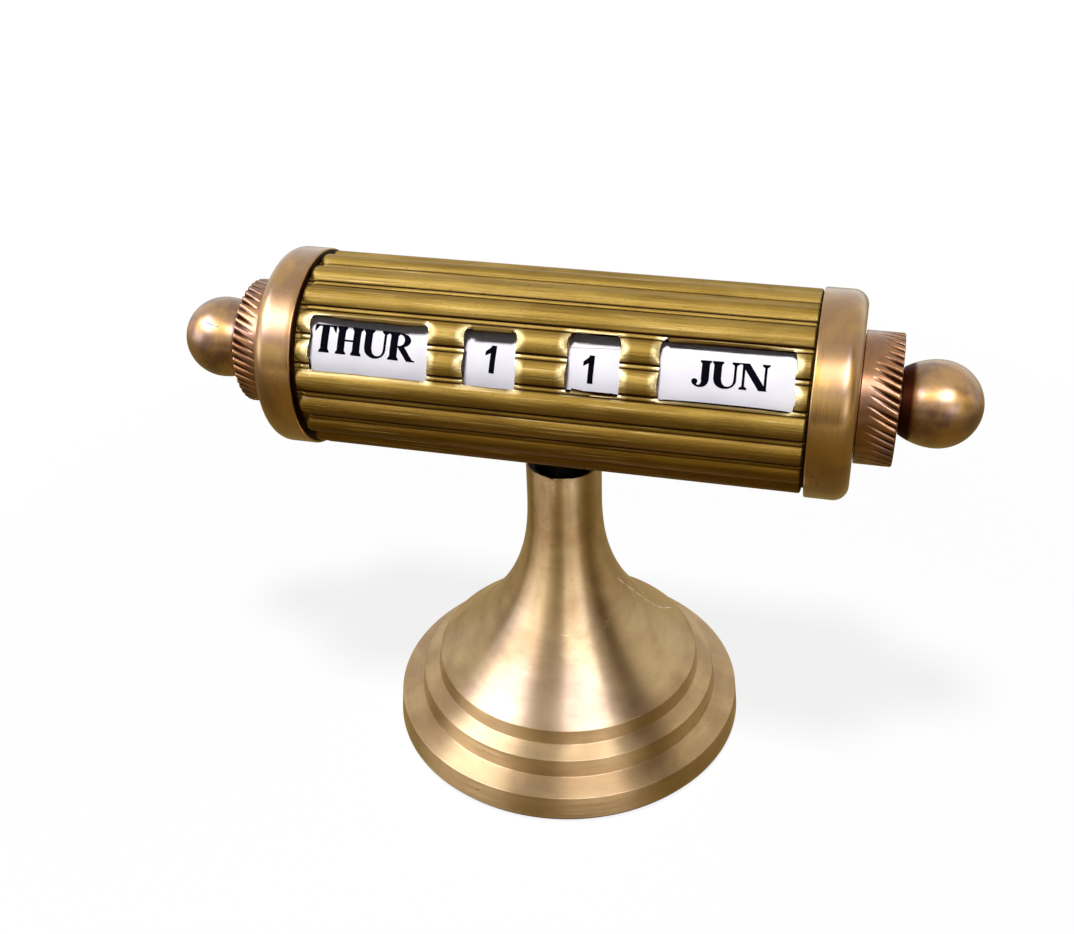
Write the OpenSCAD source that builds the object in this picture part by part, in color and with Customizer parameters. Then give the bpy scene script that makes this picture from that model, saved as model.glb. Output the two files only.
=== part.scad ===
// Perpetual desk calendar: a reeded brass tube on a turned trumpet stand.
// Four paper-banded drums turn inside the tube. Each end carries a knurled
// collar on a sleeve, which turns the word drum, and a ball knob on a shaft
// through that sleeve, which turns the digit drum beside the centre.
// The tube axis runs along X; the stand axis is Z, and Z = 0 is the desk.

/* [Stand] */
// Height of the tube axis above the desk
axis_h = 82.2; // [78:0.2:90]
// Radius of the upper edge of the lowest step
foot_r = 36.0; // [34:0.1:38]
// Inset of the middle step's edge from the lowest
middle_inset = 5.1; // [4.4:0.1:6]
// Inset of the top step's edge from the middle
top_inset = 3.75; // [3.2:0.05:4.6]
// Height of the lowest step's edge above the desk
foot_h = 5.9; // [5:0.1:7]
// Rise of the middle step's edge above the lowest
middle_rise = 5.1; // [4.2:0.1:6]
// Rise of the top step's edge above the middle
top_rise = 4.35; // [3.6:0.05:5]
// How much wider each step wall is at its foot
step_draft = 0.5; // [0:0.1:0.8]
// Fall of each tread from its inner corner to its outer edge
tread_fall = 1.3; // [0.4:0.1:1.6]
// Thickness of the cast wall
stand_wall = 1.6; // [1.2:0.1:2.2]
// Outer radius of the straight neck
neck_r = 7.45; // [6.8:0.05:8.5]
// Height of the open rim of the neck
neck_top = 62.1; // [60:0.1:63]
// Height at which the flare runs out into the straight neck
flare_top = 54.8; // [50:0.2:58]
// Power of the trumpet curve: higher is slimmer in the middle
flare_power = 2.54; // [2:0.02:3]
// Thickness of the felt under the base
pad_t = 0.8; // [0.5:0.1:1.5]
// Inset of the felt from the upper edge of the lowest step
pad_inset = 0.2; // [0:0.1:1]

/* [Tube] */
// Radius over the crests of the reeds
crest_r = 18.6; // [18:0.1:19]
// Radius at the bottom of the grooves beside the reeds
valley_r = 17.45; // [17.4:0.05:17.6]
// Inner radius of the tube
tube_bore_r = 16.6; // [16.4:0.1:16.8]
// Number of reeds around the tube
reeds = 20; // [16:2:24]
// Share of the pitch that one reed covers, the rest is the fine bead
reed_share = 0.81; // [0.76:0.01:0.84]
// Turn of the reed pattern from a bead straight below the axis
reed_turn = 1.6; // [0:0.1:4]
// Radius over the fine bead between two reeds
bead_top_r = 17.85; // [17.7:0.05:18]
// Radius of the bead's own round
bead_r = 0.5; // [0.4:0.05:0.6]
// Radius of the plain neck that enters the end cap
spigot_r = 17.35; // [17.2:0.05:17.4]
// Gap between the reeds and the lip of the left cap
left_nose_gap = 1.1; // [0.6:0.1:1.6]
// Gap between the reeds and the lip of the right cap
right_nose_gap = 0.3; // [0.2:0.1:1.6]
// Rounding of the reed noses at the left end
left_nose_r = 1.1; // [0.4:0.1:1.2]
// Rounding of the reed noses at the right end
right_nose_r = 0.5; // [0.4:0.1:1.2]

/* [Windows] */
// Angle of the row of windows above the front horizontal
window_angle = 32.2; // [30:0.1:36]
// Height of every window, across two reeds
window_h = 10.1; // [9:0.1:10.6]
// Corner radius of the windows
window_corner_r = 1.1; // [0.6:0.1:2]
// Width of the two digit windows
digit_w = 9.4; // [8:0.1:10]
// Width of the weekday and month windows
word_w = 23.0; // [20:0.1:24]
// Bridge between the two digit windows
digit_bridge = 9.5; // [8.8:0.1:10]
// Bridge between a digit window and a word window
word_bridge = 6.7; // [6:0.1:8]
// Distance from a word window to the lip of the cap
end_bridge = 3.0; // [2.6:0.1:4]

/* [End fittings] */
// Outer radius of the end caps
cap_r = 19.0; // [18.8:0.1:19.6]
// Width of an end cap
cap_w = 7.8; // [7.4:0.1:9]
// Rounding of the outer corner of a cap
cap_corner_r = 2.8; // [1.5:0.1:3]
// Thickness of the end wall of a cap
cap_wall = 2.5; // [2:0.1:2.6]
// Outer radius of the knurled collars
collar_r = 12.0; // [10:0.1:14]
// Width of a collar
collar_w = 6.5; // [5.5:0.05:7]
// Gap between cap and collar, which the thrust washer fills
collar_gap = 0.4; // [0.3:0.05:0.8]
// Number of slanted cuts around a collar
knurls = 46; // [24:1:48]
// Slant of the cuts from the axis
knurl_slant = 30; // [15:1:35]
// Depth of the cuts at the outer face
knurl_depth = 0.55; // [0.3:0.05:0.6]
// How far in from the outer face the cuts run out
knurl_reach = 4.6; // [3:0.1:5.5]
// Radius of the ball knobs
ball_r = 7.9; // [7:0.1:9]
// Distance from the knob's inner face to the centre of its ball
ball_offset = 6.4; // [5.5:0.1:7]
// Radius of the long curve from the ball to the inner face
ball_back_r = 11.7; // [10:0.1:14]
// Gap between collar and knob
knob_gap = 0.35; // [0.3:0.05:0.6]

/* [Drums and shafts] */
// Outer radius of the paper bands on the word drums
word_band_r = 16.0; // [15.6:0.1:16.2]
// Outer radius of the paper bands on the digit drums
digit_band_r = 15.3; // [14.8:0.1:16.2]
// Thickness of the paper
paper_t = 0.15; // [0.1:0.05:0.25]
// Wall of the brass drum tubes
drum_wall = 0.8; // [0.6:0.1:1.5]
// Thickness of the drum end discs
disc_t = 1.2; // [1:0.1:1.6]
// Thickness of the block that carries the inner shaft ends
block_t = 7; // [5:0.5:7.5]
// Radius of the inner shafts
shaft_r = 2.0; // [1.5:0.1:2.2]
// Outer radius of the sleeves
sleeve_r = 3.0; // [2.8:0.1:3.4]
// Radial running clearance of every turning fit
run_gap = 0.05; // [0.02:0.01:0.09]

/* [Hidden] */
$fn = 96;
TINY = 0.02;            // gap left in soldered and pressed seats
OVER = 1;               // overrun of cutters past the faces they open

LEFT = -1;
RIGHT = 1;

// Upper edges of the three base steps, outermost first
step_r = [foot_r, foot_r - middle_inset, foot_r - middle_inset - top_inset];
step_z = [foot_h, foot_h + middle_rise, foot_h + middle_rise + top_rise];

// Stations along the tube axis, measured outwards from the centre
digit_x = digit_bridge / 2 + digit_w / 2;
split_x = digit_bridge / 2 + digit_w + word_bridge / 2;
word_x = digit_bridge / 2 + digit_w + word_bridge + word_w / 2;
cap_x = word_x + word_w / 2 + end_bridge;
cap_face_x = cap_x + cap_w;
cap_floor_x = cap_face_x - cap_wall;
collar_x = cap_face_x + collar_gap;
collar_face_x = collar_x + collar_w;
knob_x = collar_face_x + knob_gap;
ball_x = knob_x + ball_offset;

// Drum layout. Angles run from straight down towards the back of the tube.
drum_gap = 0.25;        // from the end of each drum to the middle of the split
block_gap = 0.3;        // from the centre block to the digit drums
drum_past_lip = 0.7;    // how far a word drum reaches into its cap
digit_drum_x = block_t / 2 + block_gap;
word_drum_end_x = cap_x + drum_past_lip;
paper_margin = 0.3;
seam_slit = 0.3;
seam_lift = 45.2;       // degrees above the front horizontal, just under the window's top
hidden_seam = 0;        // straight down, behind the tube
units_seam = 270 - seam_lift;
function drum_r(band_r) = band_r - paper_t - TINY;
function drum_bore_r(band_r) = drum_r(band_r) - drum_wall;

// Bearing boss inside each cap and the spring washer that fills the space to the drum
boss_r = 6.5;
spring_h = 1.5;
boss_x = word_drum_end_x + spring_h;
spring_t = 0.35;
spring_rim = 0.4;       // room left round the dished washer
washer_r = 5.2;
thrust_inset = 0.7;     // how far the thrust washer stops short of the collar's edge
thrust_r = collar_r - thrust_inset;
end_play = 0.05;        // room on each face of the thrust washer
thrust_t = collar_gap - 2 * end_play;
bolt_gap = 0.2;         // radial room of the holes that a screw or shaft passes freely

// Stand fixing
washer_t = 0.4;
screw_r = 2.0;
screw_head_r = 3.6;
screw_head_h = 2.6;
screw_slot_w = 1.0;
screw_slot_d = 1.2;
screw_end_drop = 8;     // from the tube axis down to the end of the screw
screw_top = axis_h - screw_end_drop;
screw_room = 1;         // blind end of its tapped hole
web_z = 44;
web_t = 4;
neck_bore_r = neck_r - stand_wall;
spacer_r = 4.2;

// Grub screws of the collars
grub_r = 1.5;
grub_len = 5.0;
grub_slot_w = 0.5;
grub_slot_d = 0.9;
grub_inset = 2.0;
grub_x = collar_x + grub_inset;

// Shaft ends
shaft_gap = 0.3;        // between the two inner ends, and from a sleeve's end to the face
knob_seat = 2.6;        // how far a shaft enters past the centre of its ball
knob_bore = 3;          // and how far its seat is bored
spacer_wall = 2;

// Reed section: a circle through both feet and the crest
reed_pitch = 360 / reeds;
reed_foot = valley_r * sin(reed_pitch * reed_share / 2);
reed_foot_r = valley_r * cos(reed_pitch * reed_share / 2);
reed_rise = crest_r - reed_foot_r;
reed_circle_r = (reed_foot * reed_foot + reed_rise * reed_rise) / (2 * reed_rise);
reed_centre_r = crest_r - reed_circle_r;

// Lowest line of the tube, where it rests on the spacer
tube_under_z = axis_h - reed_centre_r * cos(reed_pitch / 2 - reed_turn) - reed_circle_r;

// Knurl cutter: a square bar on edge, which leaves the collar at knurl_reach
knurl_bar_r = 1.0;
knurl_drift = knurl_reach * tan(knurl_slant);
knurl_sag = collar_r - sqrt(collar_r * collar_r - knurl_drift * knurl_drift);
knurl_len = knurl_reach / cos(knurl_slant);
knurl_dip = atan((knurl_depth - knurl_sag) / knurl_len);

// Trumpet outline
flare_steps = 36;
flare_z0 = step_z[2];
function flare_r(z) = neck_r + (step_r[2] - neck_r)
    * pow(max(0, (flare_top - z) / (flare_top - flare_z0)), flare_power);
function flare_z(i) = flare_z0 + (flare_top - flare_z0) * i / flare_steps;

// Turns a shape drawn along +Z so that it runs along the tube axis from x
module along_axis(x) {
    translate([x, 0, axis_h]) rotate([0, 90, 0]) children();
}

// Right-hand fittings are turned half round the stand to make the left ones
module on_side(side) {
    rotate([0, 0, side == RIGHT ? 0 : 180]) children();
}

module ring(outer, inner, length) {
    difference() {
        cylinder(r = outer, h = length);
        translate([0, 0, -OVER]) cylinder(r = inner, h = length + 2 * OVER);
    }
}

// ---------- stand ----------

module foot_outline() {
    polygon(concat(
        [[0, pad_t], [step_r[0] + step_draft, pad_t], [step_r[0], step_z[0]]],
        [[step_r[1] + step_draft, step_z[0] + tread_fall], [step_r[1], step_z[1]]],
        [[step_r[2] + step_draft, step_z[1] + tread_fall]],
        [for (i = [0:flare_steps]) [flare_r(flare_z(i)), flare_z(i)]],
        [[neck_r, neck_top], [0, neck_top]]
    ));
}

// Hollow under the web: follows the steps and the flare one wall inside them
module foot_hollow() {
    w = stand_wall;
    hollow_top = web_z;
    polygon(concat(
        [[0, -OVER], [step_r[0] - w, -OVER], [step_r[0] - w, step_z[0] - w]],
        [[step_r[1] - w, step_z[0]], [step_r[1] - w, step_z[1] - w]],
        [[step_r[2] - w, step_z[1]]],
        [for (i = [0:flare_steps]) if (flare_z(i) + w < hollow_top)
            [flare_r(flare_z(i) + w) - w, flare_z(i)]],
        [[flare_r(hollow_top + w) - w, hollow_top], [0, hollow_top]]
    ));
}

module base_foot() {
    color([0.80, 0.67, 0.47])
    difference() {
        rotate_extrude() foot_outline();
        rotate_extrude() foot_hollow();
        translate([0, 0, web_z - OVER]) cylinder(r = screw_r + bolt_gap, h = web_t + 2 * OVER);
        translate([0, 0, web_z + web_t]) cylinder(r = neck_bore_r, h = axis_h);
    }
}

module base_pad() {
    color([0.08, 0.07, 0.07])
    cylinder(r = step_r[0] - pad_inset, h = pad_t);
}

module stand_screw() {
    head_z = web_z - washer_t - screw_head_h;
    color([0.55, 0.50, 0.42])
    difference() {
        union() {
            translate([0, 0, head_z]) cylinder(r = screw_head_r, h = screw_head_h);
            translate([0, 0, head_z + OVER])
                cylinder(r = screw_r - TINY, h = screw_top - head_z - OVER);
        }
        translate([-screw_head_r - OVER, -screw_slot_w / 2, head_z - OVER])
            cube([2 * (screw_head_r + OVER), screw_slot_w, screw_slot_d + OVER]);
    }
}

module stand_washer() {
    color([0.62, 0.60, 0.55])
    translate([0, 0, web_z - washer_t]) ring(washer_r, screw_r + bolt_gap, washer_t);
}

// Stands on the web inside the neck and carries the tube clear of the rim
module stand_spacer() {
    color([0.12, 0.10, 0.09])
    translate([0, 0, web_z + web_t])
        ring(spacer_r, screw_r + bolt_gap, tube_under_z - web_z - web_t);
}

// ---------- tube and caps ----------

module reed_section() {
    circle(r = valley_r);
    for (i = [0:reeds - 1]) {
        rotate(i * reed_pitch + reed_turn) translate([bead_top_r - bead_r, 0])
            circle(r = bead_r);
        rotate((i + 0.5) * reed_pitch + reed_turn) translate([reed_centre_r, 0])
            circle(r = reed_circle_r);
    }
}

// Half of the envelope that rounds off the noses of the reeds
module tube_envelope(nose_gap, nose_r) {
    nose_x = cap_x - nose_gap - nose_r;
    translate([0, -OVER]) square([crest_r + OVER, nose_x + OVER]);
    translate([0, -OVER]) square([spigot_r, cap_floor_x + OVER]);
    translate([crest_r - nose_r, nose_x]) circle(r = nose_r);
    translate([0, nose_x - OVER]) square([crest_r - nose_r, nose_r + OVER]);
}

module window_cutter(x, width) {
    r = window_corner_r;
    translate([x, 0, axis_h]) rotate([90 - window_angle, 0, 0])
    linear_extrude(height = crest_r + OVER) {
        square([width - 2 * r, window_h], center = true);
        square([width, window_h - 2 * r], center = true);
        for (sx = [-1, 1]) for (sy = [-1, 1])
            translate([sx * (width / 2 - r), sy * (window_h / 2 - r)]) circle(r = r);
    }
}

module housing_tube() {
    color([0.62, 0.48, 0.20])
    difference() {
        intersection() {
            along_axis(-cap_floor_x) linear_extrude(height = 2 * cap_floor_x) reed_section();
            union() {
                on_side(LEFT) along_axis(0) rotate_extrude()
                    tube_envelope(left_nose_gap, left_nose_r);
                on_side(RIGHT) along_axis(0) rotate_extrude()
                    tube_envelope(right_nose_gap, right_nose_r);
            }
        }
        along_axis(-cap_floor_x - OVER) cylinder(r = tube_bore_r, h = 2 * (cap_floor_x + OVER));
        for (s = [LEFT, RIGHT]) {
            window_cutter(s * digit_x, digit_w);
            window_cutter(s * word_x, word_w);
        }
        translate([0, 0, tube_under_z - OVER])
            cylinder(r = screw_r + bolt_gap, h = crest_r - tube_bore_r + 2 * OVER);
    }
}

module cap_outline() {
    r = cap_corner_r;
    difference() {
        union() {
            translate([0, cap_x]) square([cap_r - r, cap_w]);
            translate([0, cap_x]) square([cap_r, cap_w - r]);
            translate([cap_r - r, cap_face_x - r]) circle(r = r);
        }
        translate([boss_r, cap_x - OVER])
            square([spigot_r + TINY - boss_r, cap_floor_x - cap_x + OVER]);
        translate([0, cap_x - OVER]) square([boss_r + OVER, boss_x - cap_x + OVER]);
        square([sleeve_r + run_gap, cap_face_x + OVER]);
    }
}

module end_cap(side) {
    color([0.72, 0.52, 0.28])
    on_side(side) along_axis(0) rotate_extrude() cap_outline();
}

// The block clamped by the stand screw, with the journal for both inner shafts
module centre_block() {
    color([0.66, 0.52, 0.26])
    difference() {
        along_axis(-block_t / 2) cylinder(r = tube_bore_r - TINY, h = block_t);
        along_axis(-block_t / 2 - OVER) cylinder(r = shaft_r + run_gap, h = block_t + 2 * OVER);
        translate([0, 0, axis_h - tube_bore_r - OVER])
            cylinder(r = screw_r, h = screw_top + screw_room - axis_h + tube_bore_r + OVER);
    }
}

// Dished ring that presses the word drum inwards, so a date stays where it is set
module spring_washer(side) {
    inner = sleeve_r + bolt_gap;
    outer = boss_r - spring_rim;
    color([0.60, 0.60, 0.58])
    on_side(side) along_axis(word_drum_end_x) rotate_extrude() polygon([
        [inner, spring_h - spring_t], [outer, 0], [outer, spring_t], [inner, spring_h]
    ]);
}

module thrust_washer(side) {
    color([0.30, 0.16, 0.10])
    on_side(side) along_axis(cap_face_x + end_play)
        ring(thrust_r, sleeve_r + run_gap, thrust_t);
}

// ---------- word drums: weekday on the left, month on the right ----------

// One slanted cut at the outer face, on top of the collar, deepest at that face
module knurl_cut() {
    translate([0, 0, collar_r + knurl_bar_r - knurl_depth])
        rotate([0, knurl_dip, -knurl_slant])
        translate([-1.5 * knurl_len, 0, 0])
        rotate([0, 90, 0])
        cylinder(r = knurl_bar_r, h = 2 * knurl_len, $fn = 4);
}

module collar(side) {
    edge = 0.5;
    color([0.62, 0.43, 0.30])
    on_side(side) difference() {
        along_axis(0) rotate_extrude() difference() {
            union() {
                translate([0, collar_x]) square([collar_r, collar_w - edge]);
                translate([0, collar_x]) square([collar_r - edge, collar_w]);
                translate([collar_r - edge, collar_face_x - edge]) circle(r = edge);
            }
            square([sleeve_r + TINY, collar_face_x + OVER]);
        }
        for (i = [0:knurls - 1])
            translate([collar_face_x, 0, axis_h]) rotate([i * 360 / knurls, 0, 0])
                knurl_cut();
        translate([grub_x, 0, axis_h - collar_r - OVER])
            cylinder(r = grub_r, h = collar_r - sleeve_r + OVER);
    }
}

module collar_screw(side) {
    bottom = axis_h - sleeve_r - TINY - grub_len;
    color([0.25, 0.24, 0.22])
    on_side(side) translate([grub_x, 0, bottom]) difference() {
        cylinder(r = grub_r - TINY, h = grub_len);
        translate([-grub_r - OVER, -grub_slot_w / 2, -OVER])
            cube([2 * (grub_r + OVER), grub_slot_w, grub_slot_d + OVER]);
    }
}

module sleeve(side) {
    start = word_drum_end_x - disc_t;
    color([0.70, 0.55, 0.30])
    on_side(side) along_axis(start)
        ring(sleeve_r, shaft_r + run_gap, collar_face_x - shaft_gap - start);
}

module hub_disc(side) {
    color([0.66, 0.52, 0.26])
    on_side(side) along_axis(word_drum_end_x - disc_t)
        ring(drum_bore_r(word_band_r) - TINY, sleeve_r + TINY, disc_t);
}

// Runs on the digit shaft and keeps the free end of the word drum true
module idle_disc(side) {
    color([0.66, 0.52, 0.26])
    on_side(side) along_axis(split_x + drum_gap)
        ring(drum_bore_r(word_band_r) - TINY, shaft_r + run_gap, disc_t);
}

module drum_tube(side, from, to, band_r) {
    color([0.64, 0.50, 0.26])
    on_side(side) along_axis(from) ring(drum_r(band_r), drum_bore_r(band_r), to - from);
}

// Paper wrapped once round a drum, with the slit of its butted ends
module paper_band(side, from, to, band_r, seam_angle) {
    color([0.93, 0.92, 0.96])
    on_side(side) along_axis(from + paper_margin) difference() {
        ring(band_r, band_r - paper_t, to - from - 2 * paper_margin);
        rotate([0, 0, seam_angle]) translate([0, -seam_slit / 2, -OVER])
            cube([band_r + OVER, seam_slit, to - from + 2 * OVER]);
    }
}

module word_drum_tube(side) {
    drum_tube(side, split_x + drum_gap, word_drum_end_x, word_band_r);
}

module word_paper_band(side) {
    paper_band(side, split_x + drum_gap, word_drum_end_x, word_band_r, hidden_seam);
}

// ---------- digit drums: tens on the left, units on the right ----------

module knob(side) {
    bore_depth = ball_offset + knob_bore;
    color([0.66, 0.45, 0.24])
    on_side(side) along_axis(0) rotate_extrude() difference() {
        union() {
            intersection() {
                translate([0, ball_x]) circle(r = ball_r);
                translate([0, ball_x]) square([ball_r, ball_r]);
            }
            intersection() {
                translate([ball_r - ball_back_r, ball_x]) circle(r = ball_back_r);
                translate([0, knob_x]) square([ball_r, ball_offset]);
            }
        }
        translate([0, knob_x - OVER]) square([shaft_r, bore_depth + OVER]);
    }
}

module digit_shaft(side) {
    color([0.62, 0.58, 0.50])
    on_side(side) along_axis(shaft_gap)
        cylinder(r = shaft_r - TINY, h = ball_x + knob_seat - shaft_gap);
}

module digit_discs(side) {
    color([0.66, 0.52, 0.26])
    on_side(side) for (x = [digit_drum_x, split_x - drum_gap - disc_t])
        along_axis(x) ring(drum_bore_r(digit_band_r) - TINY, shaft_r, disc_t);
}

module digit_drum_tube(side) {
    drum_tube(side, digit_drum_x, split_x - drum_gap, digit_band_r);
}

module digit_paper_band(side, seam_angle) {
    paper_band(side, digit_drum_x, split_x - drum_gap, digit_band_r, seam_angle);
}

module spacer(side) {
    color([0.60, 0.60, 0.58])
    on_side(side) along_axis(split_x - drum_gap + TINY)
        ring(shaft_r + spacer_wall, shaft_r + TINY, 2 * (drum_gap - TINY));
}

// ---------- assembly ----------

base_foot();
base_pad();
stand_screw();
stand_washer();
stand_spacer();
centre_block();
housing_tube();
end_cap(LEFT);  // left_end_cap
end_cap(RIGHT);  // right_end_cap
spring_washer(LEFT);  // left_spring_washer
spring_washer(RIGHT);  // right_spring_washer
thrust_washer(LEFT);  // left_thrust_washer
thrust_washer(RIGHT);  // right_thrust_washer
collar(LEFT);  // day_collar
collar_screw(LEFT);  // day_collar_screw
sleeve(LEFT);  // day_sleeve
hub_disc(LEFT);  // day_hub_disc
idle_disc(LEFT);  // day_idle_disc
word_drum_tube(LEFT);  // day_drum_tube
word_paper_band(LEFT);  // day_paper_band
collar(RIGHT);  // month_collar
collar_screw(RIGHT);  // month_collar_screw
sleeve(RIGHT);  // month_sleeve
hub_disc(RIGHT);  // month_hub_disc
idle_disc(RIGHT);  // month_idle_disc
word_drum_tube(RIGHT);  // month_drum_tube
word_paper_band(RIGHT);  // month_paper_band
knob(LEFT);  // tens_knob
digit_shaft(LEFT);  // tens_shaft
digit_discs(LEFT);  // tens_discs
digit_drum_tube(LEFT);  // tens_drum_tube
digit_paper_band(LEFT, hidden_seam);  // tens_paper_band
spacer(LEFT);  // tens_spacer
knob(RIGHT);  // units_knob
digit_shaft(RIGHT);  // units_shaft
digit_discs(RIGHT);  // units_discs
digit_drum_tube(RIGHT);  // units_drum_tube
digit_paper_band(RIGHT, units_seam);  // units_paper_band
spacer(RIGHT);  // units_spacer
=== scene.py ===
"""Looks of a perpetual desk calendar: a reeded brass tube on a turned stand, with four paper drums."""

import math
import random

import bpy
from mathutils import Matrix, Vector, noise


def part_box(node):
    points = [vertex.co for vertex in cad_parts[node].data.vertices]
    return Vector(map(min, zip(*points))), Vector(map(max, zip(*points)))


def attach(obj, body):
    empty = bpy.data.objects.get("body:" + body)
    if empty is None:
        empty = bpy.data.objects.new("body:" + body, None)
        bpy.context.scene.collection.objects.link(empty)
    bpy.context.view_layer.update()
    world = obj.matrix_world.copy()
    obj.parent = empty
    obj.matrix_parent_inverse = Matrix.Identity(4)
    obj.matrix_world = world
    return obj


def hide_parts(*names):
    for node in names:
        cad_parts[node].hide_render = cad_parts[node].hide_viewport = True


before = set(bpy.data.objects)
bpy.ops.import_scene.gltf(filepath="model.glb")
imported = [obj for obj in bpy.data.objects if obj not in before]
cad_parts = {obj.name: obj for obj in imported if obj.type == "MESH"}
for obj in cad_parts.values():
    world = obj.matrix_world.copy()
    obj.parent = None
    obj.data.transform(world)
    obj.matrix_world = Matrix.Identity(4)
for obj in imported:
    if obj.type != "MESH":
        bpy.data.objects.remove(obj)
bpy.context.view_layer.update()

MM = 0.001
WELD = 0.001 * MM  # points closer than this are one
mesh = bpy.ops.mesh

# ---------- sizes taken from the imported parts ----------


def round_size(name):
    """(near end, far end, radius) of a part on the right that turns about the tube axis."""
    low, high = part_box(name)
    return low.x, high.x, (high.z - low.z) / 2


CAP_X, CAP_FACE, CAP_R = round_size("right_end_cap")
COLLAR_X, COLLAR_FACE, COLLAR_R = round_size("month_collar")
KNOB_X, KNOB_TIP, BALL_R = round_size("units_knob")
WORD_R = round_size("month_paper_band")[2]
DIGIT_R = round_size("units_paper_band")[2]
SLEEVE_R = round_size("month_sleeve")[2]
AXIS_Z = sum(corner.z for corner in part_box("right_end_cap")) / 2
NECK_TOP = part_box("base_foot")[1].z

# ---------- sizes of the visible shapes ----------

CREST_R = 18.6 * MM
VALLEY_R = 17.45 * MM
SPIGOT_R = 17.35 * MM
REEDS = 20
PITCH = 360 / REEDS
REED_SHARE = 0.81
REED_TURN = 1.6  # degrees from straight down to the nearest groove
GROOVE_R = VALLEY_R - 0.2 * MM
BEAD_TOP_R = 17.8 * MM
BEAD_R = 0.46 * MM
BEAD_DROP = 0.35  # degrees that the bead lies below the middle of its groove, at the front
TUBE_WALL = 0.95 * MM
TUBE_END = CAP_FACE - 2.6 * MM
SHIFT_FROM, SHIFT_RUN = 7 * MM, 5 * MM  # the last rings of points are shifted to follow the uneven cut
END_LEAN = 0.26  # radians beside straight down where the tube's ends stand back most
# at the left end and the right end: bare spigot beside the cap at the front, how much more below,
# the rounding of each reed's end, and how far a groove's end stands back
ENDS = {
    -1: (0.5 * MM, 0.3 * MM, 1.1 * MM, 1.9 * MM),
    1: (0.32 * MM, 0.24 * MM, 0.5 * MM, 0.15 * MM),
}

# each window was punched by hand: left and right side, foot and head, and the angle it looks up
WINDOWS = [
    (-43.7 * MM, -21.1 * MM, -5.2 * MM, 5.05 * MM, 31.2),
    (-14.4 * MM, -4.75 * MM, -5.2 * MM, 5.3 * MM, 31.4),
    (4.4 * MM, 13.9 * MM, -5.15 * MM, 5.55 * MM, 32.8),
    (20.7 * MM, 44.05 * MM, -5.1 * MM, 5.8 * MM, 33.1),
]
WINDOW_CORNER = 1.2 * MM
FOOT_CORNER = 0.5 * MM
LEFT_LEAN, RIGHT_LEAN = -0.02, -0.05  # how far its sides lean off the square
REED_WAVE = 5.8 * MM  # from reed to reed across a window
CREST_TILT = 43.4  # degrees that the reed above the middle of the windows looks up
SIDE_BOW = 0.1 * MM
HEAD_TEAR, FOOT_TEAR = 0.12 * MM, 0.06 * MM  # how ragged its upper and lower edge are
PRESS = 1.6 * MM  # width of the pressed rim beside a window
PRESS_ROUND = 1.7  # how softly the rim sinks in
PRESS_SINK = 0.6  # share of a reed's height that the rim loses
RUB_AND_GLINT_EDGE = 0.5 * MM  # width of the edge that is rubbed bright and lightened as a painted highlight

FIT = 0.02 * MM  # room between a part and the one that it sits on
BORE_GAP = 0.05 * MM  # room for a sleeve that turns in its bore
BORE_EDGE = 0.3 * MM
CAP_CORNER = 2.8 * MM
CAP_WALL = 2.5 * MM
CAP_LIP = 0.3 * MM
LIP_LINE = 0.1 * MM  # painted shade on the cap's back reaches as near to its lip as this
BOSS_R = 6.5 * MM
BOSS_X = CAP_X + 2.2 * MM

STEP_R = [36.0 * MM, 30.9 * MM, 27.15 * MM]
STEP_Z = [5.9 * MM, 11.0 * MM, 15.35 * MM]
STEP_DRAFT = 0.5 * MM
TREAD_FALL = 1.3 * MM
STAND_WALL = 1.6 * MM
NECK_R = 7.45 * MM
FLARE_TOP = 54.8 * MM
FLARE_POWER = 2.54
FLARE_STEPS = 44
PAD_T = 0.8 * MM
WEB_Z = 44 * MM
WEB_T = 4 * MM
SCREW_HOLE = 2.2 * MM
EDGE = 0.22 * MM

KNURLS = 46
KNURL_SLANT = math.radians(25)
KNURL_DEPTH = 0.6 * MM
KNURL_REACH = 5.5 * MM
KNURL_SKIN = 2.3 * MM  # how far in from the barrel the cuts are felt
KNURL_FADE = 1.6 * MM
CUT_NARROW, CUT_SPREAD = 0.08, 0.25  # half width of a cut at its tip, and how much wider it grows
FACE_SHARE = 0.8  # how deep a cut goes into the collar's face, beside its barrel
COLLAR_EDGE = 0.35 * MM
COLLAR_BACK = 0.12 * MM  # room between a cap and the collar's rim, and the rim's own bevel
COLLAR_PLATE = 2.2 * MM  # width of the collar's face that the cuts may reach
COLLAR_RIM = 4 * MM  # width of the rim that stands nearer to the cap
KNOB_BACK_R = 11.7 * MM
KNOB_BORE = 9.4 * MM
PIN_HOLE = 0.002 * MM  # keeps the ball's tip from closing to one point
NECK_REFLECTION, NECK_FADE = 0.9 * MM, 1.7 * MM  # the ball's neck carries a painted dark reflection of the collar so far, then it clears
SHAFT_R = 2.0 * MM

PAPER_T = 0.15 * MM
PAPER_SLIT = 0.12 * MM
UNITS_SEAM = 45.2  # degrees that the seam of the units paper looks up
CURL = 6  # degrees of a paper's end that stand off its drum
PRINT_TILT = 36.0  # degrees that the middle of a print looks up
INK_LIFT = 0.02 * MM
WORD_LEVEL = -0.45 * MM
FIGURE_HEIGHT = 5.0 * MM


# ---------- modelling helpers ----------


def clear_selection():
    bpy.ops.object.select_all(action="DESELECT")


def choose(piece):
    clear_selection()
    piece.select_set(True)
    bpy.context.view_layer.objects.active = piece


def name_piece(name):
    piece = bpy.context.object
    piece.name = name
    piece.data.name = name
    return piece


def edit():
    bpy.ops.object.mode_set(mode="EDIT")


def edit_all():
    edit()
    mesh.select_all(action="SELECT")


def leave():
    bpy.ops.object.mode_set(mode="OBJECT")


def face_out():
    """Turns all faces of the piece in edit mode to face out, and leaves edit mode."""
    mesh.select_all(action="SELECT")
    mesh.normals_make_consistent(inside=False)
    leave()


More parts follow.
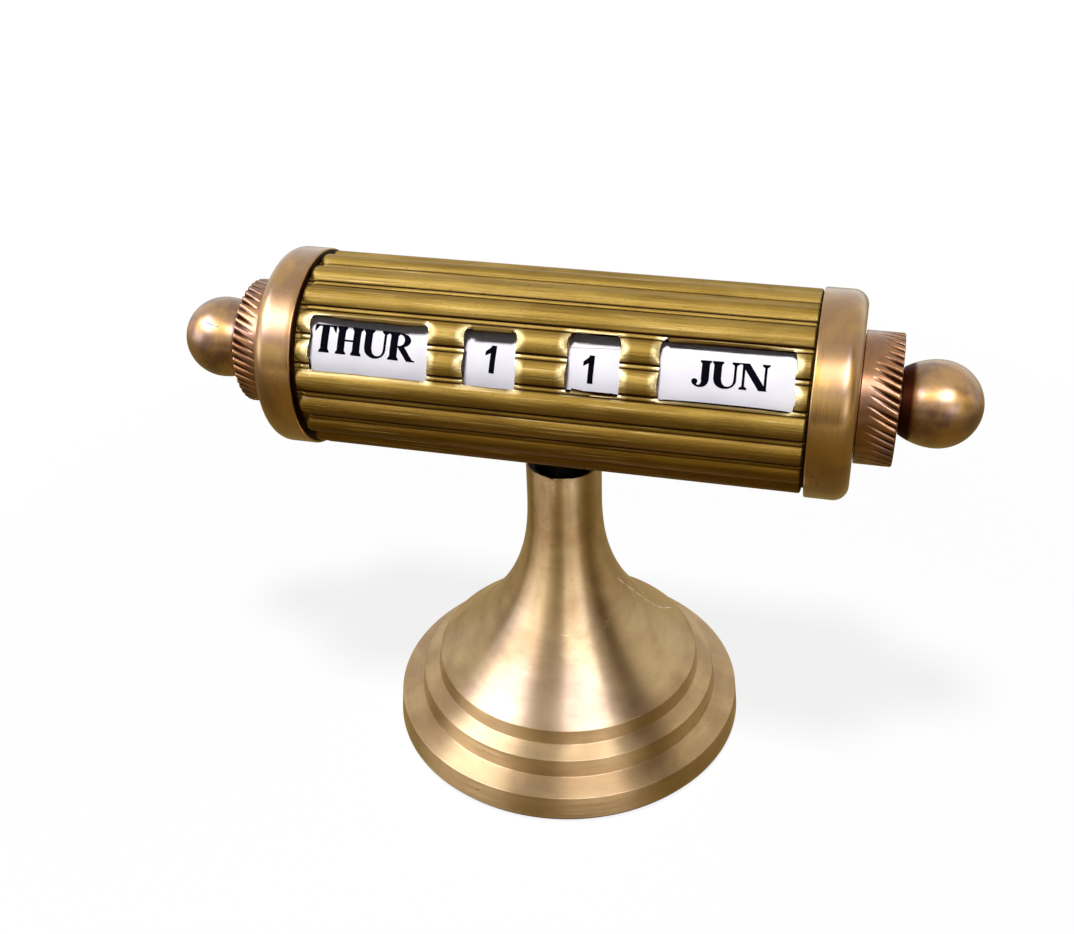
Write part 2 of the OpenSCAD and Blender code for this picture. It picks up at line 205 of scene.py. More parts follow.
def draw_outline(name, points):
    """A closed chain of edges in the XZ plane, started from one point and drawn on by extruding it."""
    clear_selection()
    mesh.primitive_plane_add(size=MM)
    name_piece(name)
    edit_all()
    mesh.merge(type="CENTER")
    here = Vector((points[0][0], 0, points[0][1]))
    bpy.ops.transform.translate(value=here)
    for x, z in points[1:]:
        there = Vector((x, 0, z))
        mesh.extrude_region_move(TRANSFORM_OT_translate={"value": there - here})
        here = there
    mesh.select_all(action="SELECT")
    mesh.edge_face_add()
    mesh.delete(type="ONLY_FACE")
    mesh.select_all(action="SELECT")


def turn_on_lathe(name, points, steps, smooth, upright=False):
    """Spins a closed outline of (radius, station) points about the tube axis, or about the Z axis."""
    if upright:
        draw_outline(name, points)
        centre, axis = (0, 0, 0), (0, 0, 1)
    else:
        draw_outline(name, [(station, AXIS_Z + radius) for radius, station in points])
        centre, axis = (0, 0, AXIS_Z), (1, 0, 0)
    mesh.spin(steps=steps, angle=2 * math.pi, center=centre, axis=axis)
    mesh.select_all(action="SELECT")
    mesh.remove_doubles(threshold=WELD)
    face_out()
    return smooth_piece(bpy.context.object, smooth)


def smooth_piece(piece, angle):
    choose(piece)
    bpy.ops.object.shade_smooth_by_angle(angle=math.radians(angle))
    return piece


def arc(centre, radius, start, end, steps):
    """Points round part of a circle; angles in degrees from the first axis."""
    angles = [math.radians(start + (end - start) * i / steps) for i in range(steps + 1)]
    return [(centre[0] + radius * math.cos(a), centre[1] + radius * math.sin(a)) for a in angles]


def between(a, b, steps):
    """Points on a straight run, without its two ends."""
    return [
        (a[0] + (b[0] - a[0]) * i / steps, a[1] + (b[1] - a[1]) * i / steps)
        for i in range(1, steps)
    ]


def soften(points, corners, radius):
    """The same outline with its first corners rounded."""
    steps = 3
    made = []
    for i, p in enumerate(points):
        if i >= corners:
            made.append(p)
            continue
        here = Vector(p)
        before = (Vector(points[i - 1]) - here).normalized()
        after = (Vector(points[i + 1]) - here).normalized()
        half = before.angle(after) / 2
        reach = radius / math.tan(half)
        middle = here + (before + after).normalized() * (radius / math.sin(half))
        first = here + before * reach - middle
        last = here + after * reach - middle
        sweep = first.angle_signed(last)
        for k in range(steps + 1):
            turned = first.copy()
            turned.rotate(Matrix.Rotation(-sweep * k / steps, 2))
            made.append(tuple(middle + turned))
    return made


def share_of(part, whole=1.0):
    """How much of the whole this part is, held between 0 and 1."""
    return min(1.0, max(0.0, part / whole))


def off_axis(co):
    """Distance of a place from the tube axis."""
    return math.hypot(co[1], co[2] - AXIS_Z)


def from_front(x, radius, lift):
    """A place at a distance from the tube axis; lift is the angle it looks up, in radians."""
    return x, -radius * math.cos(lift), AXIS_Z + radius * math.sin(lift)


def from_below(x, radius, turn):
    """A place at a distance from the tube axis; turn is its angle from straight down, in degrees."""
    a = math.radians(turn)
    return x, radius * math.sin(a), AXIS_Z - radius * math.cos(a)


def drop(material, piece):
    piece.data.materials.clear()
    piece.data.materials.append(material)


def vertex_values(piece, name, values):
    layer = piece.data.attributes.new(name, "FLOAT", "POINT")
    layer.data.foreach_set("value", values)


def install(piece, body, material, slot, *nodes):
    drop(material, piece)
    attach(piece, body)
    if nodes:
        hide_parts(*nodes)


# ---------- shader helpers ----------


def tint(red, green, blue):
    """A colour picked on a screen, turned into the light value the shader wants."""

    def light(value):
        value /= 255
        return value / 12.92 if value <= 0.04045 else ((value + 0.055) / 1.055) ** 2.4

    return (light(red), light(green), light(blue), 1.0)


def feed(made, feeds):
    """Links an input to a value from another node, and sets it to anything else."""
    for key, value in feeds.items():
        if isinstance(value, Value):
            value.tree.links.new(value.socket, made.inputs[key])
        else:
            made.inputs[key].default_value = value


def node(tree, kind, feeds=None, out=0, **settings):
    """Adds a node and gives one of its outputs."""
    made = tree.nodes.new("ShaderNode" + kind)
    for key, value in settings.items():
        setattr(made, key, value)
    feed(made, feeds or {})
    return Value(tree, made.outputs[out] if made.outputs else None)


class Value:
    """A number, colour or place in a shader's tree. Sums and products of values become nodes."""

    def __init__(self, tree, socket):
        self.tree = tree
        self.socket = socket

    def pick(self, output):
        """Another output of the same node."""
        return Value(self.tree, self.socket.node.outputs[output])

    def maths(self, operation, other=0.0):
        return node(self.tree, "Math", {0: self, 1: other}, operation=operation)

    def __add__(self, other):
        return self.maths("ADD", other)

    def __sub__(self, other):
        return self.maths("SUBTRACT", other)

    def __rsub__(self, other):
        return node(self.tree, "Math", {0: other, 1: self}, operation="SUBTRACT")

    def __mul__(self, other):
        return self.maths("MULTIPLY", other)

    def __truediv__(self, other):
        return self.maths("DIVIDE", other)

    def __abs__(self):
        return self.maths("ABSOLUTE")

    def held(self):
        """The same answer, held between 0 and 1."""
        self.socket.node.use_clamp = True
        return self

    def vector(self, operation, other=(0, 0, 0), scale=1.0):
        """Arithmetic on places, where a length or a dot product is a number."""
        made = node(self.tree, "VectorMath", {0: self, 1: other, 3: scale}, operation=operation)
        return made.pick("Value") if operation in ("LENGTH", "DOT_PRODUCT") else made

    def blend(self, a, b, how="MIX"):
        """Colour a where this value is 0, and colour b where it is 1."""
        return node(self.tree, "Mix", {0: self, 6: a, 7: b}, out=2, data_type="RGBA", blend_type=how)

    def span(self, low, high, to_low=0.0, to_high=1.0, smooth=True):
        """Maps this value from one span to another and holds it there."""
        feeds = {"Value": self, "From Min": low, "From Max": high, "To Min": to_low, "To Max": to_high}
        return node(self.tree, "MapRange", feeds, interpolation_type="SMOOTHSTEP" if smooth else "LINEAR")

    def mottle(self, scale, detail=3.0, rough=0.5, twist=0.0):
        feeds = {"Vector": self, "Scale": scale, "Detail": detail, "Roughness": rough, "Distortion": twist}
        return node(self.tree, "TexNoise", feeds)

    def stretch(self, scale=(1, 1, 1), turn=(0, 0, 0), shift=(0, 0, 0)):
        feeds = {"Vector": self, "Scale": scale, "Rotation": turn, "Location": shift}
        return node(self.tree, "Mapping", feeds)


def new_group(name, inputs, outputs):
    """A shader group: its tree, its inputs as values, and the node that its answers go into."""
    tree = bpy.data.node_groups.new(name, "ShaderNodeTree")
    for key in inputs:
        kind = "NodeSocketVector" if key in ("Place", "Start", "End") else "NodeSocketFloat"
        tree.interface.new_socket(name=key, in_out="INPUT", socket_type=kind)
    for key in outputs:
        tree.interface.new_socket(name=key, in_out="OUTPUT", socket_type="NodeSocketFloat")
    given = tree.nodes.new("NodeGroupInput")
    return tree, [Value(tree, given.outputs[key]) for key in inputs], tree.nodes.new("NodeGroupOutput")


def use(group, place, **feeds):
    """Puts a group into a material, with its own values; gives its first output."""
    return node(place.tree, "Group", {"Place": place, **feeds}, node_tree=group)


def lathe_lines_group():
    """Fine lines that run round a turned piece whose axis is Z, and broader bands between them."""
    names = ["Place", "Fineness", "Sweep"]
    tree, (place, fineness, sweep), out = new_group("lathe_lines", names, ["Lines", "Bands"])
    parts = node(tree, "SeparateXYZ", {0: place})
    flat = node(tree, "CombineXYZ", {0: parts, 1: parts.pick(1)})
    reach = flat.vector("LENGTH")
    swept = node(tree, "SeparateXYZ", {0: flat.vector("NORMALIZE").vector("SCALE", scale=sweep)})
    for key, share, detail in (("Lines", 1.0, 4.0), ("Bands", 0.12, 2.0)):
        fine = fineness * share
        spot = node(tree, "CombineXYZ", {0: swept, 1: swept.pick(1), 2: parts.pick(2) * fine})
        feeds = {"Vector": spot, "W": reach * fine, "Scale": 1.0, "Detail": detail, "Roughness": 0.6}
        feed(out, {key: node(tree, "TexNoise", feeds, noise_dimensions="4D")})
    return tree


def hairline_group():
    """Sparse thin scratches: the ridge lines of a stretched noise, kept only in some patches."""
    tree, (place, width, patches), out = new_group("hairlines", ["Place", "Width", "Patches"], ["Mask"])
    line = abs(place.mottle(1.0, detail=1.0, twist=0.3) - 0.5).span(width, 0.0, smooth=False)
    patch = place.stretch((0.35, 0.35, 0.35), shift=(3, 1, 7)).mottle(1.0)
    feed(out, {"Mask": line * patch.maths("GREATER_THAN", patches)})
    return tree


def tarnish_group():
    """Cloudy brown patches, and small specks."""
    names = ["Place", "Size", "Spread"]
    tree, (place, size, spread), out = new_group("tarnish", names, ["Clouds", "Specks"])
    clouds = place.mottle(size, detail=4.0, twist=0.6).span(spread - 0.14, spread + 0.14)
    specks = place.mottle(size * 14.0, detail=2.0).span(0.62, 0.72)
    feed(out, {"Clouds": clouds, "Specks": specks})
    return tree


def scratch_group():
    """One mark cut from Start to End, widest in its middle."""
    names = ["Place", "Start", "End", "Width"]
    tree, (place, start, end, width), out = new_group("scratch", names, ["Mask"])
    away = place.vector("SUBTRACT", start)
    run = end.vector("SUBTRACT", start)
    share = (away.vector("DOT_PRODUCT", run) / run.vector("DOT_PRODUCT", run)).held()
    off = away.vector("SUBTRACT", run.vector("SCALE", scale=share)).vector("LENGTH")
    wide = width * (share * (1.0 - share) * 3.0 + 0.25)
    feed(out, {"Mask": (1.0 - off / wide).held()})
    return tree


LATHE_LINES = lathe_lines_group()
HAIRLINES = hairline_group()
TARNISH = tarnish_group()
SCRATCH = scratch_group()

# ---------- finishes ----------


def start_finish(name):
    """A material, its shader, and the place of each point in the calendar's own frame."""
    material = bpy.data.materials.new(name)
    material.use_nodes = True
    tree = material.node_tree
    return material, tree.nodes["Principled BSDF"], node(tree, "TexCoord", out="Object")


def about_tube_axis(place):
    """The same places, turned so that the tube axis becomes Z through the origin."""
    return place.stretch(turn=(0, -math.pi / 2, 0), shift=(AXIS_Z, 0, 0))


def painted(place, name):
    """The value that a piece's points carry under this name."""
    return node(place.tree, "Attribute", out="Fac", attribute_name=name)


def bump(height, strength, depth):
    return node(height.tree, "Bump", {"Height": height, "Strength": strength, "Distance": depth * MM})


def turned_brass(
    name, bright, dull, shade_tone, rough, axis="X", brushed=0.6, fineness=2600.0, bands=0.35, grain=0.5,
    cloud_size=70.0, clouds_share=0.6, marks=(), lacquer=0.5,
):
    """Satin brass off the lathe: lines round the piece, soft brown clouds, a few scratches, and painted
    shade in cuts and hollows.
    """
    material, shader, place = start_finish(name)
    spun = place if axis == "Z" else about_tube_axis(place)
    lines = use(LATHE_LINES, spun, Fineness=fineness, Sweep=2.5)
    tarnish = use(TARNISH, place, Size=cloud_size, Spread=0.52)
    hairs = use(HAIRLINES, spun.stretch((160, 240, 900), (0.4, 0.3, 0.2)), Width=0.01, Patches=0.6)
    clouds = tarnish * clouds_share
    # painted shade: bores, knurl cuts and the caps' backs around the tube turn darker, rougher and lose
    # their lacquer; on the balls' necks it stands for a dark reflection of the collar
    deep = painted(place, "painted_shade_and_reflection").span(0.12, 0.62)
    band_tone = lines.pick("Bands").span(0.3, 0.7, 0.0, bands, smooth=False)
    colour = (band_tone + clouds).held().blend(bright, dull)
    colour = (tarnish.pick("Specks") * 0.25).blend(colour, dull)
    colour = deep.blend(colour, shade_tone)
    gloss = lines.span(0.25, 0.75, rough - 0.06, rough + 0.08, smooth=False)
    gloss = (gloss + clouds * 0.06 - hairs * 0.12).held()
    height = lines - hairs * 0.6
    for start, end, width, mark_tone in marks:
        spots = {"Start": Vector(start) * MM, "End": Vector(end) * MM}
        mark = use(SCRATCH, place, Width=width * MM, **spots)
        colour = mark.span(0.05, 0.5).blend(colour, mark_tone)
        height = height - mark * 6.0
    feed(shader, {
        "Base Color": colour,
        "Metallic": 1.0,
        "Roughness": (gloss + deep * 0.25).held(),
        "Normal": bump(height, grain, 0.02),
        "Anisotropic": brushed,
        "Anisotropic Rotation": 0.25,
        "Tangent": node(place.tree, "Tangent", direction_type="RADIAL", axis=axis),
        "Coat Weight": (1.0 - deep) * lacquer,
        "Coat Roughness": 0.27,
        "Coat IOR": 1.55 + 0.35 * lacquer,
    })
    return material


def tube_brass():
    """Old drawn brass: olive and brown, darker towards its underside as painted shade, dark in the grooves
    with grime and painted shade, brighter on crests, and lightened on pressed rims as rubbed metal and
    painted highlight.
    """
    material, shader, place = start_finish("aged_tube_brass")
    pressed = painted(place, "pressed")
    long_lines = place.stretch((50, 1500, 1500)).mottle(1.0, detail=4.0, rough=0.6)
    streaks = place.stretch((22, 420, 420), shift=(4, 2, 1)).mottle(1.0, detail=5.0, rough=0.6)
    fine = place.stretch((45, 2600, 2600), shift=(1, 5, 2)).mottle(1.0, detail=4.0, rough=0.65)
    pits = place.mottle(2600.0, detail=2.0)
    tarnish = use(TARNISH, place.stretch((0.5, 1, 1)), Size=130.0, Spread=0.5)
    # painted shade: the tube turns darker towards its underside
    underside_shade = node(place.tree, "SeparateXYZ", {0: place}, out=2).span(AXIS_Z + 9 * MM, AXIS_Z - 8 * MM)
    grime_and_shade = (painted(place, "valley") + (streaks - 0.5) * 0.5).span(0.3, 0.9)
    dull = (streaks.span(0.35, 0.65) * 0.6 + tarnish * 0.35).held()
    colour = dull.blend(tint(160, 130, 58), tint(126, 97, 30))
    colour = underside_shade.blend(colour, tint(186, 166, 100), "MULTIPLY")
    for share, tone in (
        (fine.span(0.5, 0.72, 0.0, 0.6), tint(92, 66, 20)),  # dark hairlines
        (fine.span(0.45, 0.27, 0.0, 0.5), tint(208, 180, 112)),  # bright hairlines
        (tarnish.pick("Specks") * 0.35, tint(104, 76, 28)),
        (pressed * 0.85, tint(240, 216, 150)),  # rubbed rims, lightened further as a painted highlight
        (grime_and_shade, tint(48, 24, 8)),  # grime and painted shade in the grooves, on the bare spigot and on the inner wall
    ):
        colour = share.blend(colour, tone)
    gloss = long_lines.span(0.3, 0.7, 0.47, 0.63, smooth=False)
    feed(shader, {
        "Base Color": colour,
        "Metallic": 1.0,
        "Roughness": (gloss + grime_and_shade * 0.2 - pressed * 0.32).held(),
        "Normal": bump(long_lines + pits * 0.7 + streaks * 1.2 - fine, 0.9, 0.07),
        "Coat Weight": grime_and_shade.span(0.0, 0.6, 0.15, 0.0),
        "Coat Roughness": 0.3,
    })
    return material


def inner_metal(name, bright, dull, rough):
    """Metal of the small inner fittings: fine lines, light clouding."""
    material, shader, place = start_finish(name)
    lines = use(LATHE_LINES, about_tube_axis(place), Fineness=2400.0, Sweep=3.0)
    tarnish = use(TARNISH, place, Size=260.0, Spread=0.5)
    feed(shader, {
        "Base Color": (tarnish * 0.7).blend(bright, dull),
        "Metallic": 1.0,
        "Roughness": lines.span(0.3, 0.7, rough - 0.07, rough + 0.1),
        "Normal": bump(lines, 0.3, 0.02),
    })
    return material


def paper_finish():
    material, shader, place = start_finish("paper")
    fibres = place.mottle(2400.0, detail=5.0, rough=0.7)
    age = place.mottle(150.0).span(0.35, 0.75)
    feed(shader, {
        "Base Color": age.blend(tint(238, 235, 243), tint(230, 227, 238)),
        "Roughness": fibres.span(0.3, 0.7, 0.75, 0.9),
        "Specular IOR Level": 0.04,
        "Normal": bump(fibres, 0.2, 0.02),
    })
    return material


def soft_finish(name, grain, run, low_tone, high_tone, relief=None, **feeds):
    """A dull material. Its tone runs from low_tone to high_tone with a fine noise; relief follows it."""
    material, shader, place = start_finish(name)
    grain = place.mottle(*grain)
    feeds["Base Color"] = grain.span(*run).blend(low_tone, high_tone)
    if "Roughness" not in feeds:
        feeds["Roughness"] = grain.span(0.3, 0.7, 0.6, 0.8)
    if relief:
        feeds["Normal"] = bump(grain, *relief)
    feed(shader, feeds)
    return material


def line_of_marks(points, widths, tone):
    """A crooked line as straight marks from point to point, each with its width in mm."""
    return [(a, b, width, tone) for a, b, width in zip(points, points[1:], widths)]


PALE, DEEP = tint(250, 236, 206), tint(40, 20, 8)
FLARE_LINE = [
    (10.83, -0.66, 35.02), (12.25, 1.19, 32.04), (13.77, 3.3, 28.97), (15.38, 5.11, 26.12),
    (16.71, 6.21, 24.14), (17.83, 7.3, 22.54), (19.02, 9.42, 20.52), (20.13, 13.63, 17.68),
]
CAP_LINE = [(47.11, -18.42, 77.54), (47.87, -18.01, 76.15), (48.94, -17.57, 74.98), (49.55, -16.43, 72.65)]
BALL_DENT = [(-69.78, -5.13, 88.03), (-67.48, -5.8, 87.5), (-66.45, -5.72, 87.32)]

STAND_BRASS = turned_brass(
    "stand_brass", tint(200, 168, 114), tint(166, 130, 82), tint(18, 12, 8), 0.35, "Z",
    brushed=0.98, fineness=2200.0, bands=0.45, grain=0.65,
    marks=line_of_marks(FLARE_LINE, [0.2] * 7, PALE),
)
CAP_BRASS = turned_brass(
    "cap_brass", tint(184, 137, 36), tint(144, 98, 20), DEEP, 0.26,
    brushed=0.85, clouds_share=0.9, lacquer=0.9, marks=line_of_marks(CAP_LINE, [0.14, 0.16, 0.12], DEEP),
)
COLLAR_BRASS = turned_brass(
    "collar_brass", tint(162, 106, 40), tint(106, 62, 22), tint(44, 18, 8), 0.28,
    cloud_size=160.0, lacquer=0.7,
)
KNOB_BRASS = turned_brass(
    "knob_brass", tint(182, 134, 54), tint(120, 74, 26), tint(74, 34, 16), 0.34,
    brushed=0.8, cloud_size=150.0, clouds_share=0.9, lacquer=0.9,
    marks=line_of_marks(BALL_DENT, [0.3, 0.12], DEEP),
)
TUBE_BRASS = tube_brass()
INNER_BRASS = inner_metal("inner_brass", tint(196, 158, 96), tint(150, 112, 60), 0.38)
PLATED_STEEL = inner_metal("plated_steel", tint(186, 184, 178), tint(150, 146, 138), 0.34)
BLACK_STEEL = inner_metal("blackened_steel", tint(66, 62, 58), tint(40, 36, 34), 0.42)
PAPER = paper_finish()
INK = soft_finish(
    "printing_ink", (5200.0,), (0.35, 0.7), tint(3, 2, 7), tint(9, 6, 15), **{"Specular IOR Level": 0.02}
)
FELT = soft_finish(
    "felt", (1500.0, 6.0, 0.7, 0.8), (0.3, 0.7), tint(22, 20, 22), tint(50, 44, 44), (0.8, 0.2),
    **{"Roughness": 0.95, "Sheen Weight": 0.3},
)
FIBRE = soft_finish(
    "fibre", (1800.0, 4.0, 0.6), (0.35, 0.65), tint(92, 46, 28), tint(58, 26, 16), (0.3, 0.05),
    Roughness=0.6,
)


# ---------- stand ----------


def flare_radius(z):
    share = max(0.0, (FLARE_TOP - z) / (FLARE_TOP - STEP_Z[2]))
    return NECK_R + (STEP_R[2] - NECK_R) * share**FLARE_POWER


def make_foot():
    """The cast stand in one closed outline: rings, flare, neck, bore, web and the open inside under it."""
    rings = []
    for radius, floor, top in zip(STEP_R, [PAD_T, STEP_Z[0] + TREAD_FALL, STEP_Z[1] + TREAD_FALL], STEP_Z):
        rings += [(radius + STEP_DRAFT, floor), (radius, top)]
    rise = FLARE_TOP - STEP_Z[2]
    flare_levels = [STEP_Z[2] + rise * i / FLARE_STEPS for i in range(1, FLARE_STEPS + 1)]
    flare = [(flare_radius(z), z) for z in flare_levels]
    bore = NECK_R - STAND_WALL
    # the neck's lip is rounded over towards its bore
    rim = [
        (NECK_R, NECK_TOP - 0.25 * MM),
        (NECK_R - 0.08 * MM, NECK_TOP - 0.06 * MM),
        (NECK_R - 0.2 * MM, NECK_TOP),
        (NECK_R - 0.42 * MM, NECK_TOP - 0.1 * MM),
        (bore, NECK_TOP - 1.1 * MM),
    ]
    web = [(bore, WEB_Z + WEB_T), (SCREW_HOLE, WEB_Z + WEB_T), (SCREW_HOLE, WEB_Z)]
    # the inside follows the flare and the rings, one wall further in
    under = [(flare_radius(WEB_Z + STAND_WALL) - STAND_WALL, WEB_Z)]
    for z in (32 * MM, 24 * MM, 18 * MM):
        under.append((flare_radius(z) - STAND_WALL, z - STAND_WALL))
    under += [
        (STEP_R[2] - STAND_WALL, STEP_Z[1]),
        (STEP_R[1] - STAND_WALL, STEP_Z[1] - STAND_WALL),
        (STEP_R[1] - STAND_WALL, STEP_Z[0]),
        (STEP_R[0] - STAND_WALL, STEP_Z[0] - STAND_WALL),
        (STEP_R[0] - STAND_WALL, PAD_T),
    ]
    outline = soften(rings + flare + rim + web + under, len(rings), EDGE)
    foot = turn_on_lathe("stand_casting", outline, steps=256, smooth=28, upright=True)
    # painted shade inside the neck's bore, above the web
    dark = []
    for v in foot.data.vertices:
        in_bore = math.hypot(v.co.x, v.co.y) < NECK_R - 0.35 * MM and v.co.z > WEB_Z
        dark.append(1.0 if in_bore else 0.0)
        if v.co.z > NECK_TOP - 0.2 * MM:
            v.co.z -= 0.3 * MM * max(0.0, noise.noise(v.co / MM * 0.7))
    vertex_values(foot, "painted_shade_and_reflection", dark)
    install(foot, "stand_and_tube", STAND_BRASS, "stand_brass", "base_foot")


# ---------- reeded tube ----------


def window_spot(co, tilt):
    """(along the tube, up the window's face, out of its face), all from the tube axis."""
    up = math.radians(tilt)
    z = co[2] - AXIS_Z
    return co[0], co[1] * math.sin(up) + z * math.cos(up), -co[1] * math.cos(up) + z * math.sin(up)


def window_gap(co, window):
    """Signed distance from a window's outline, on its face; its sides bow out at each reed."""
    left, right, foot, head, tilt = window
    x, level, facing = window_spot(co, tilt)
    if facing < 0:
        return 1.0
    crest = CREST_R * math.sin(math.radians(CREST_TILT - tilt))
    bowed = SIDE_BOW * math.cos(2 * math.pi * (level - crest) / REED_WAVE)
    tear = HEAD_TEAR if level > 0 else FOOT_TEAR
    torn = tear * noise.noise(Vector((x / MM * 0.9, head / MM, 0.3)))
    rounded = level > 0 or x > (left + right) / 2 > 20 * MM
    corner = WINDOW_CORNER if rounded else FOOT_CORNER
    dx = max(left + LEFT_LEAN * level - x, x - right - RIGHT_LEAN * level) - bowed + corner
    dy = max(foot - level, level - head) + torn + corner
    return math.hypot(max(dx, 0), max(dy, 0)) + min(max(dx, dy), 0) - corner


def nearest_gap(co):
    return min(window_gap(co, window) for window in WINDOWS)


def on_circle(centre, radius, off):
    """Distance from the tube axis to a circle's far side, off degrees aside of its middle at centre."""
    a = math.radians(off)
    return centre * math.cos(a) + math.sqrt(radius**2 - (centre * math.sin(a)) ** 2)


def reed_radius(turn):
    """Height of the reeded surface at an angle from straight down, with a thin bead in each groove."""
    half = PITCH / 2 * REED_SHARE
    off = (turn - REED_TURN) % PITCH - PITCH / 2
    if abs(off) < half + 0.01:
        foot = VALLEY_R * math.sin(math.radians(half))
        rise = CREST_R - VALLEY_R * math.cos(math.radians(half))
        bow = (foot * foot + rise * rise) / (2 * rise)
        return on_circle(CREST_R - bow, bow, off)
    centre = BEAD_TOP_R - BEAD_R
    off = off % PITCH - PITCH / 2 - BEAD_DROP
    if centre * math.sin(math.radians(abs(off))) > BEAD_R:
        return GROOVE_R
    return max(GROOVE_R, on_circle(centre, BEAD_R, off))


def tube_end(side, turn):
    """Where the reeds stop at an angle round the tube: the cut isn't quite square."""
    gap, swing = ENDS[side][:2]
    return CAP_X - gap - swing * math.cos(math.radians(turn) + END_LEAN)


def tube_surface(x, turn):
    """(radius, bare, height over the groove, how hard it is pressed) of the tube at a place on it."""
    side = 1 if x > 0 else -1
    nose, scallop = ENDS[side][2:]
    radius = reed_radius(turn)
    height = (radius - VALLEY_R) / (CREST_R - VALLEY_R)
    end = tube_end(side, turn)
    if abs(x) > end + 0.01 * MM:
        return SPIGOT_R, True, height, 0.0
    if radius > SPIGOT_R:
        reach = end - scallop * (1 - max(0.0, height)) ** 2 - abs(x)
        rounded = math.sqrt(1 - (1 - share_of(reach, nose)) ** 2)
        radius = SPIGOT_R + (radius - SPIGOT_R) * rounded
    rub_and_glint = 0.0
    spot = from_below(x, radius, turn)
    for window in WINDOWS:
        left, right, foot, head, tilt = window
        _, level, facing = window_spot(spot, tilt)
        level_with = foot - 0.4 * MM < level < head + 0.4 * MM
        if facing < 0 or not level_with or not -WINDOW_CORNER < max(left - x, x - right) < 3 * MM:
            continue
        share = share_of(window_gap(spot, window), PRESS)
        if radius > GROOVE_R:
            radius -= PRESS_SINK * (radius - GROOVE_R) * (1 - share) ** PRESS_ROUND
        rub_and_glint = max(rub_and_glint, 1 - share)
    return radius, False, height, rub_and_glint


def tube_stations():
    """Places along the tube where its rings of points lie, close together where the surface turns."""
    marks = {0.0}
    for window in WINDOWS:
        for side, edge in ((-1, window[0]), (1, window[1])):
            for step in (-1.2, -0.8, -0.45, -0.2, 0.0, 0.12, 0.3, 0.55, 0.85, 1.25, 1.8):
                marks.add(round(edge / MM + side * step, 3))
    for side, (gap, *_) in ENDS.items():
        for step in (-0.05, 0.0, 0.1, 0.22, 0.4, 0.65, 1.0, 1.5):
            marks.add(round(side * ((CAP_X - gap) / MM - step), 3))
        marks.add(round(side * TUBE_END / MM, 3))
    widest = 4.2
    placed = sorted(marks)
    filled = [placed[0]]
    for there in placed[1:]:
        here = filled[-1]
        parts = max(1, math.ceil((there - here) / widest))
        filled += [here + (there - here) * k / parts for k in range(1, parts + 1)]
    return [x * MM for x in filled]


def angle_below(co):
    return math.atan2(co.y, AXIS_Z - co.z)


def draw_tube(stations, count):
    """A plain tube of rings of points, drawn out along the axis from one circle."""
    clear_selection()
    start = (stations[0], 0, AXIS_Z)
    mesh.primitive_circle_add(vertices=count, radius=CREST_R, location=start, rotation=(0, math.pi / 2, 0))
    tube = name_piece("reeded_tube")
    bpy.ops.object.transform_apply(location=True, rotation=True)
    edit_all()
    for here, there in zip(stations, stations[1:]):
        mesh.extrude_region_move(TRANSFORM_OT_translate={"value": (there - here, 0, 0)})
    leave()
    return tube


def shape_reeds(tube, around):
    """Moves each point to the reeded surface and notes how deep it lies, for grime and painted shade, and
    how hard it is pressed, for rubbing and a painted highlight.
    """
    valley, pressed = [], []
    count = len(around)
    first = angle_below(tube.data.vertices[0].co)
    for v in tube.data.vertices:
        turn = around[round((angle_below(v.co) - first) / (2 * math.pi) * count) % count]
        x = v.co.x
        side = 1 if x > 0 else -1
        if abs(x) < TUBE_END - 0.1 * MM:
            plain_end = CAP_X - ENDS[side][0]
            share = share_of(abs(x) - plain_end + SHIFT_FROM, SHIFT_RUN)
            x += side * share * (tube_end(side, turn) - plain_end)
        radius, bare, height, rub_and_glint = tube_surface(x, turn)
        v.co = from_below(x, radius, turn)
        lip = nearest_gap(v.co)
        # the torn lip of a window is rubbed bright and lightened as a painted highlight
        if 0 <= lip < RUB_AND_GLINT_EDGE:
            rub_and_glint = max(rub_and_glint, 1 - lip / RUB_AND_GLINT_EDGE)
        # the bare spigot beside the caps is painted fully dark as shade; grooves get grime and painted shade
        valley.append(1.0 if bare else share_of(1 - height * 2.6))
        pressed.append(rub_and_glint)
    vertex_values(tube, "valley", valley)
    vertex_values(tube, "pressed", pressed)


def fit_rim(tube, rim):
    """Slides each point of a window's rim along the tube's surface on to the window's true outline."""
    step = 0.02 * MM
    for i in rim:
        co = tube.data.vertices[i].co
        window = min(WINDOWS, key=lambda w: abs(window_gap(co, w)))
        up = math.radians(window[4])
        across, along = Vector((1, 0, 0)), Vector((0, math.sin(up), math.cos(up)))
        for _ in range(3):
            gap = window_gap(co, window)
            slope_x = (window_gap(co + across * step, window) - gap) / step
            slope_up = (window_gap(co + along * step, window) - gap) / step
            steep = math.hypot(slope_x, slope_up)
            if steep < 0.1:
                break
            co -= (across * slope_x + along * slope_up) * (gap / steep**2)
        x, level, _ = window_spot(co, window[4])
        radius = off_axis(co)
        for _ in range(4):
            lift = window[4] + math.degrees(math.asin(max(-1.0, min(1.0, level / radius))))
            radius = tube_surface(x, 270 - lift)[0]
        co.x, co.y, co.z = from_front(x, radius, math.radians(lift))


def punch_windows(tube):
    for part in (tube.data.edges, tube.data.vertices):
        part.foreach_set("select", [False] * len(part))
    for face in tube.data.polygons:
        face.select = nearest_gap(face.center) < 0
    cut = {i for face in tube.data.polygons if face.select for i in face.vertices}
    kept = {i for face in tube.data.polygons if not face.select for i in face.vertices}
    fit_rim(tube, cut & kept)
    edit()
    mesh.select_mode(type="FACE")
    mesh.delete(type="FACE")
    mesh.select_mode(type="VERT")
    leave()


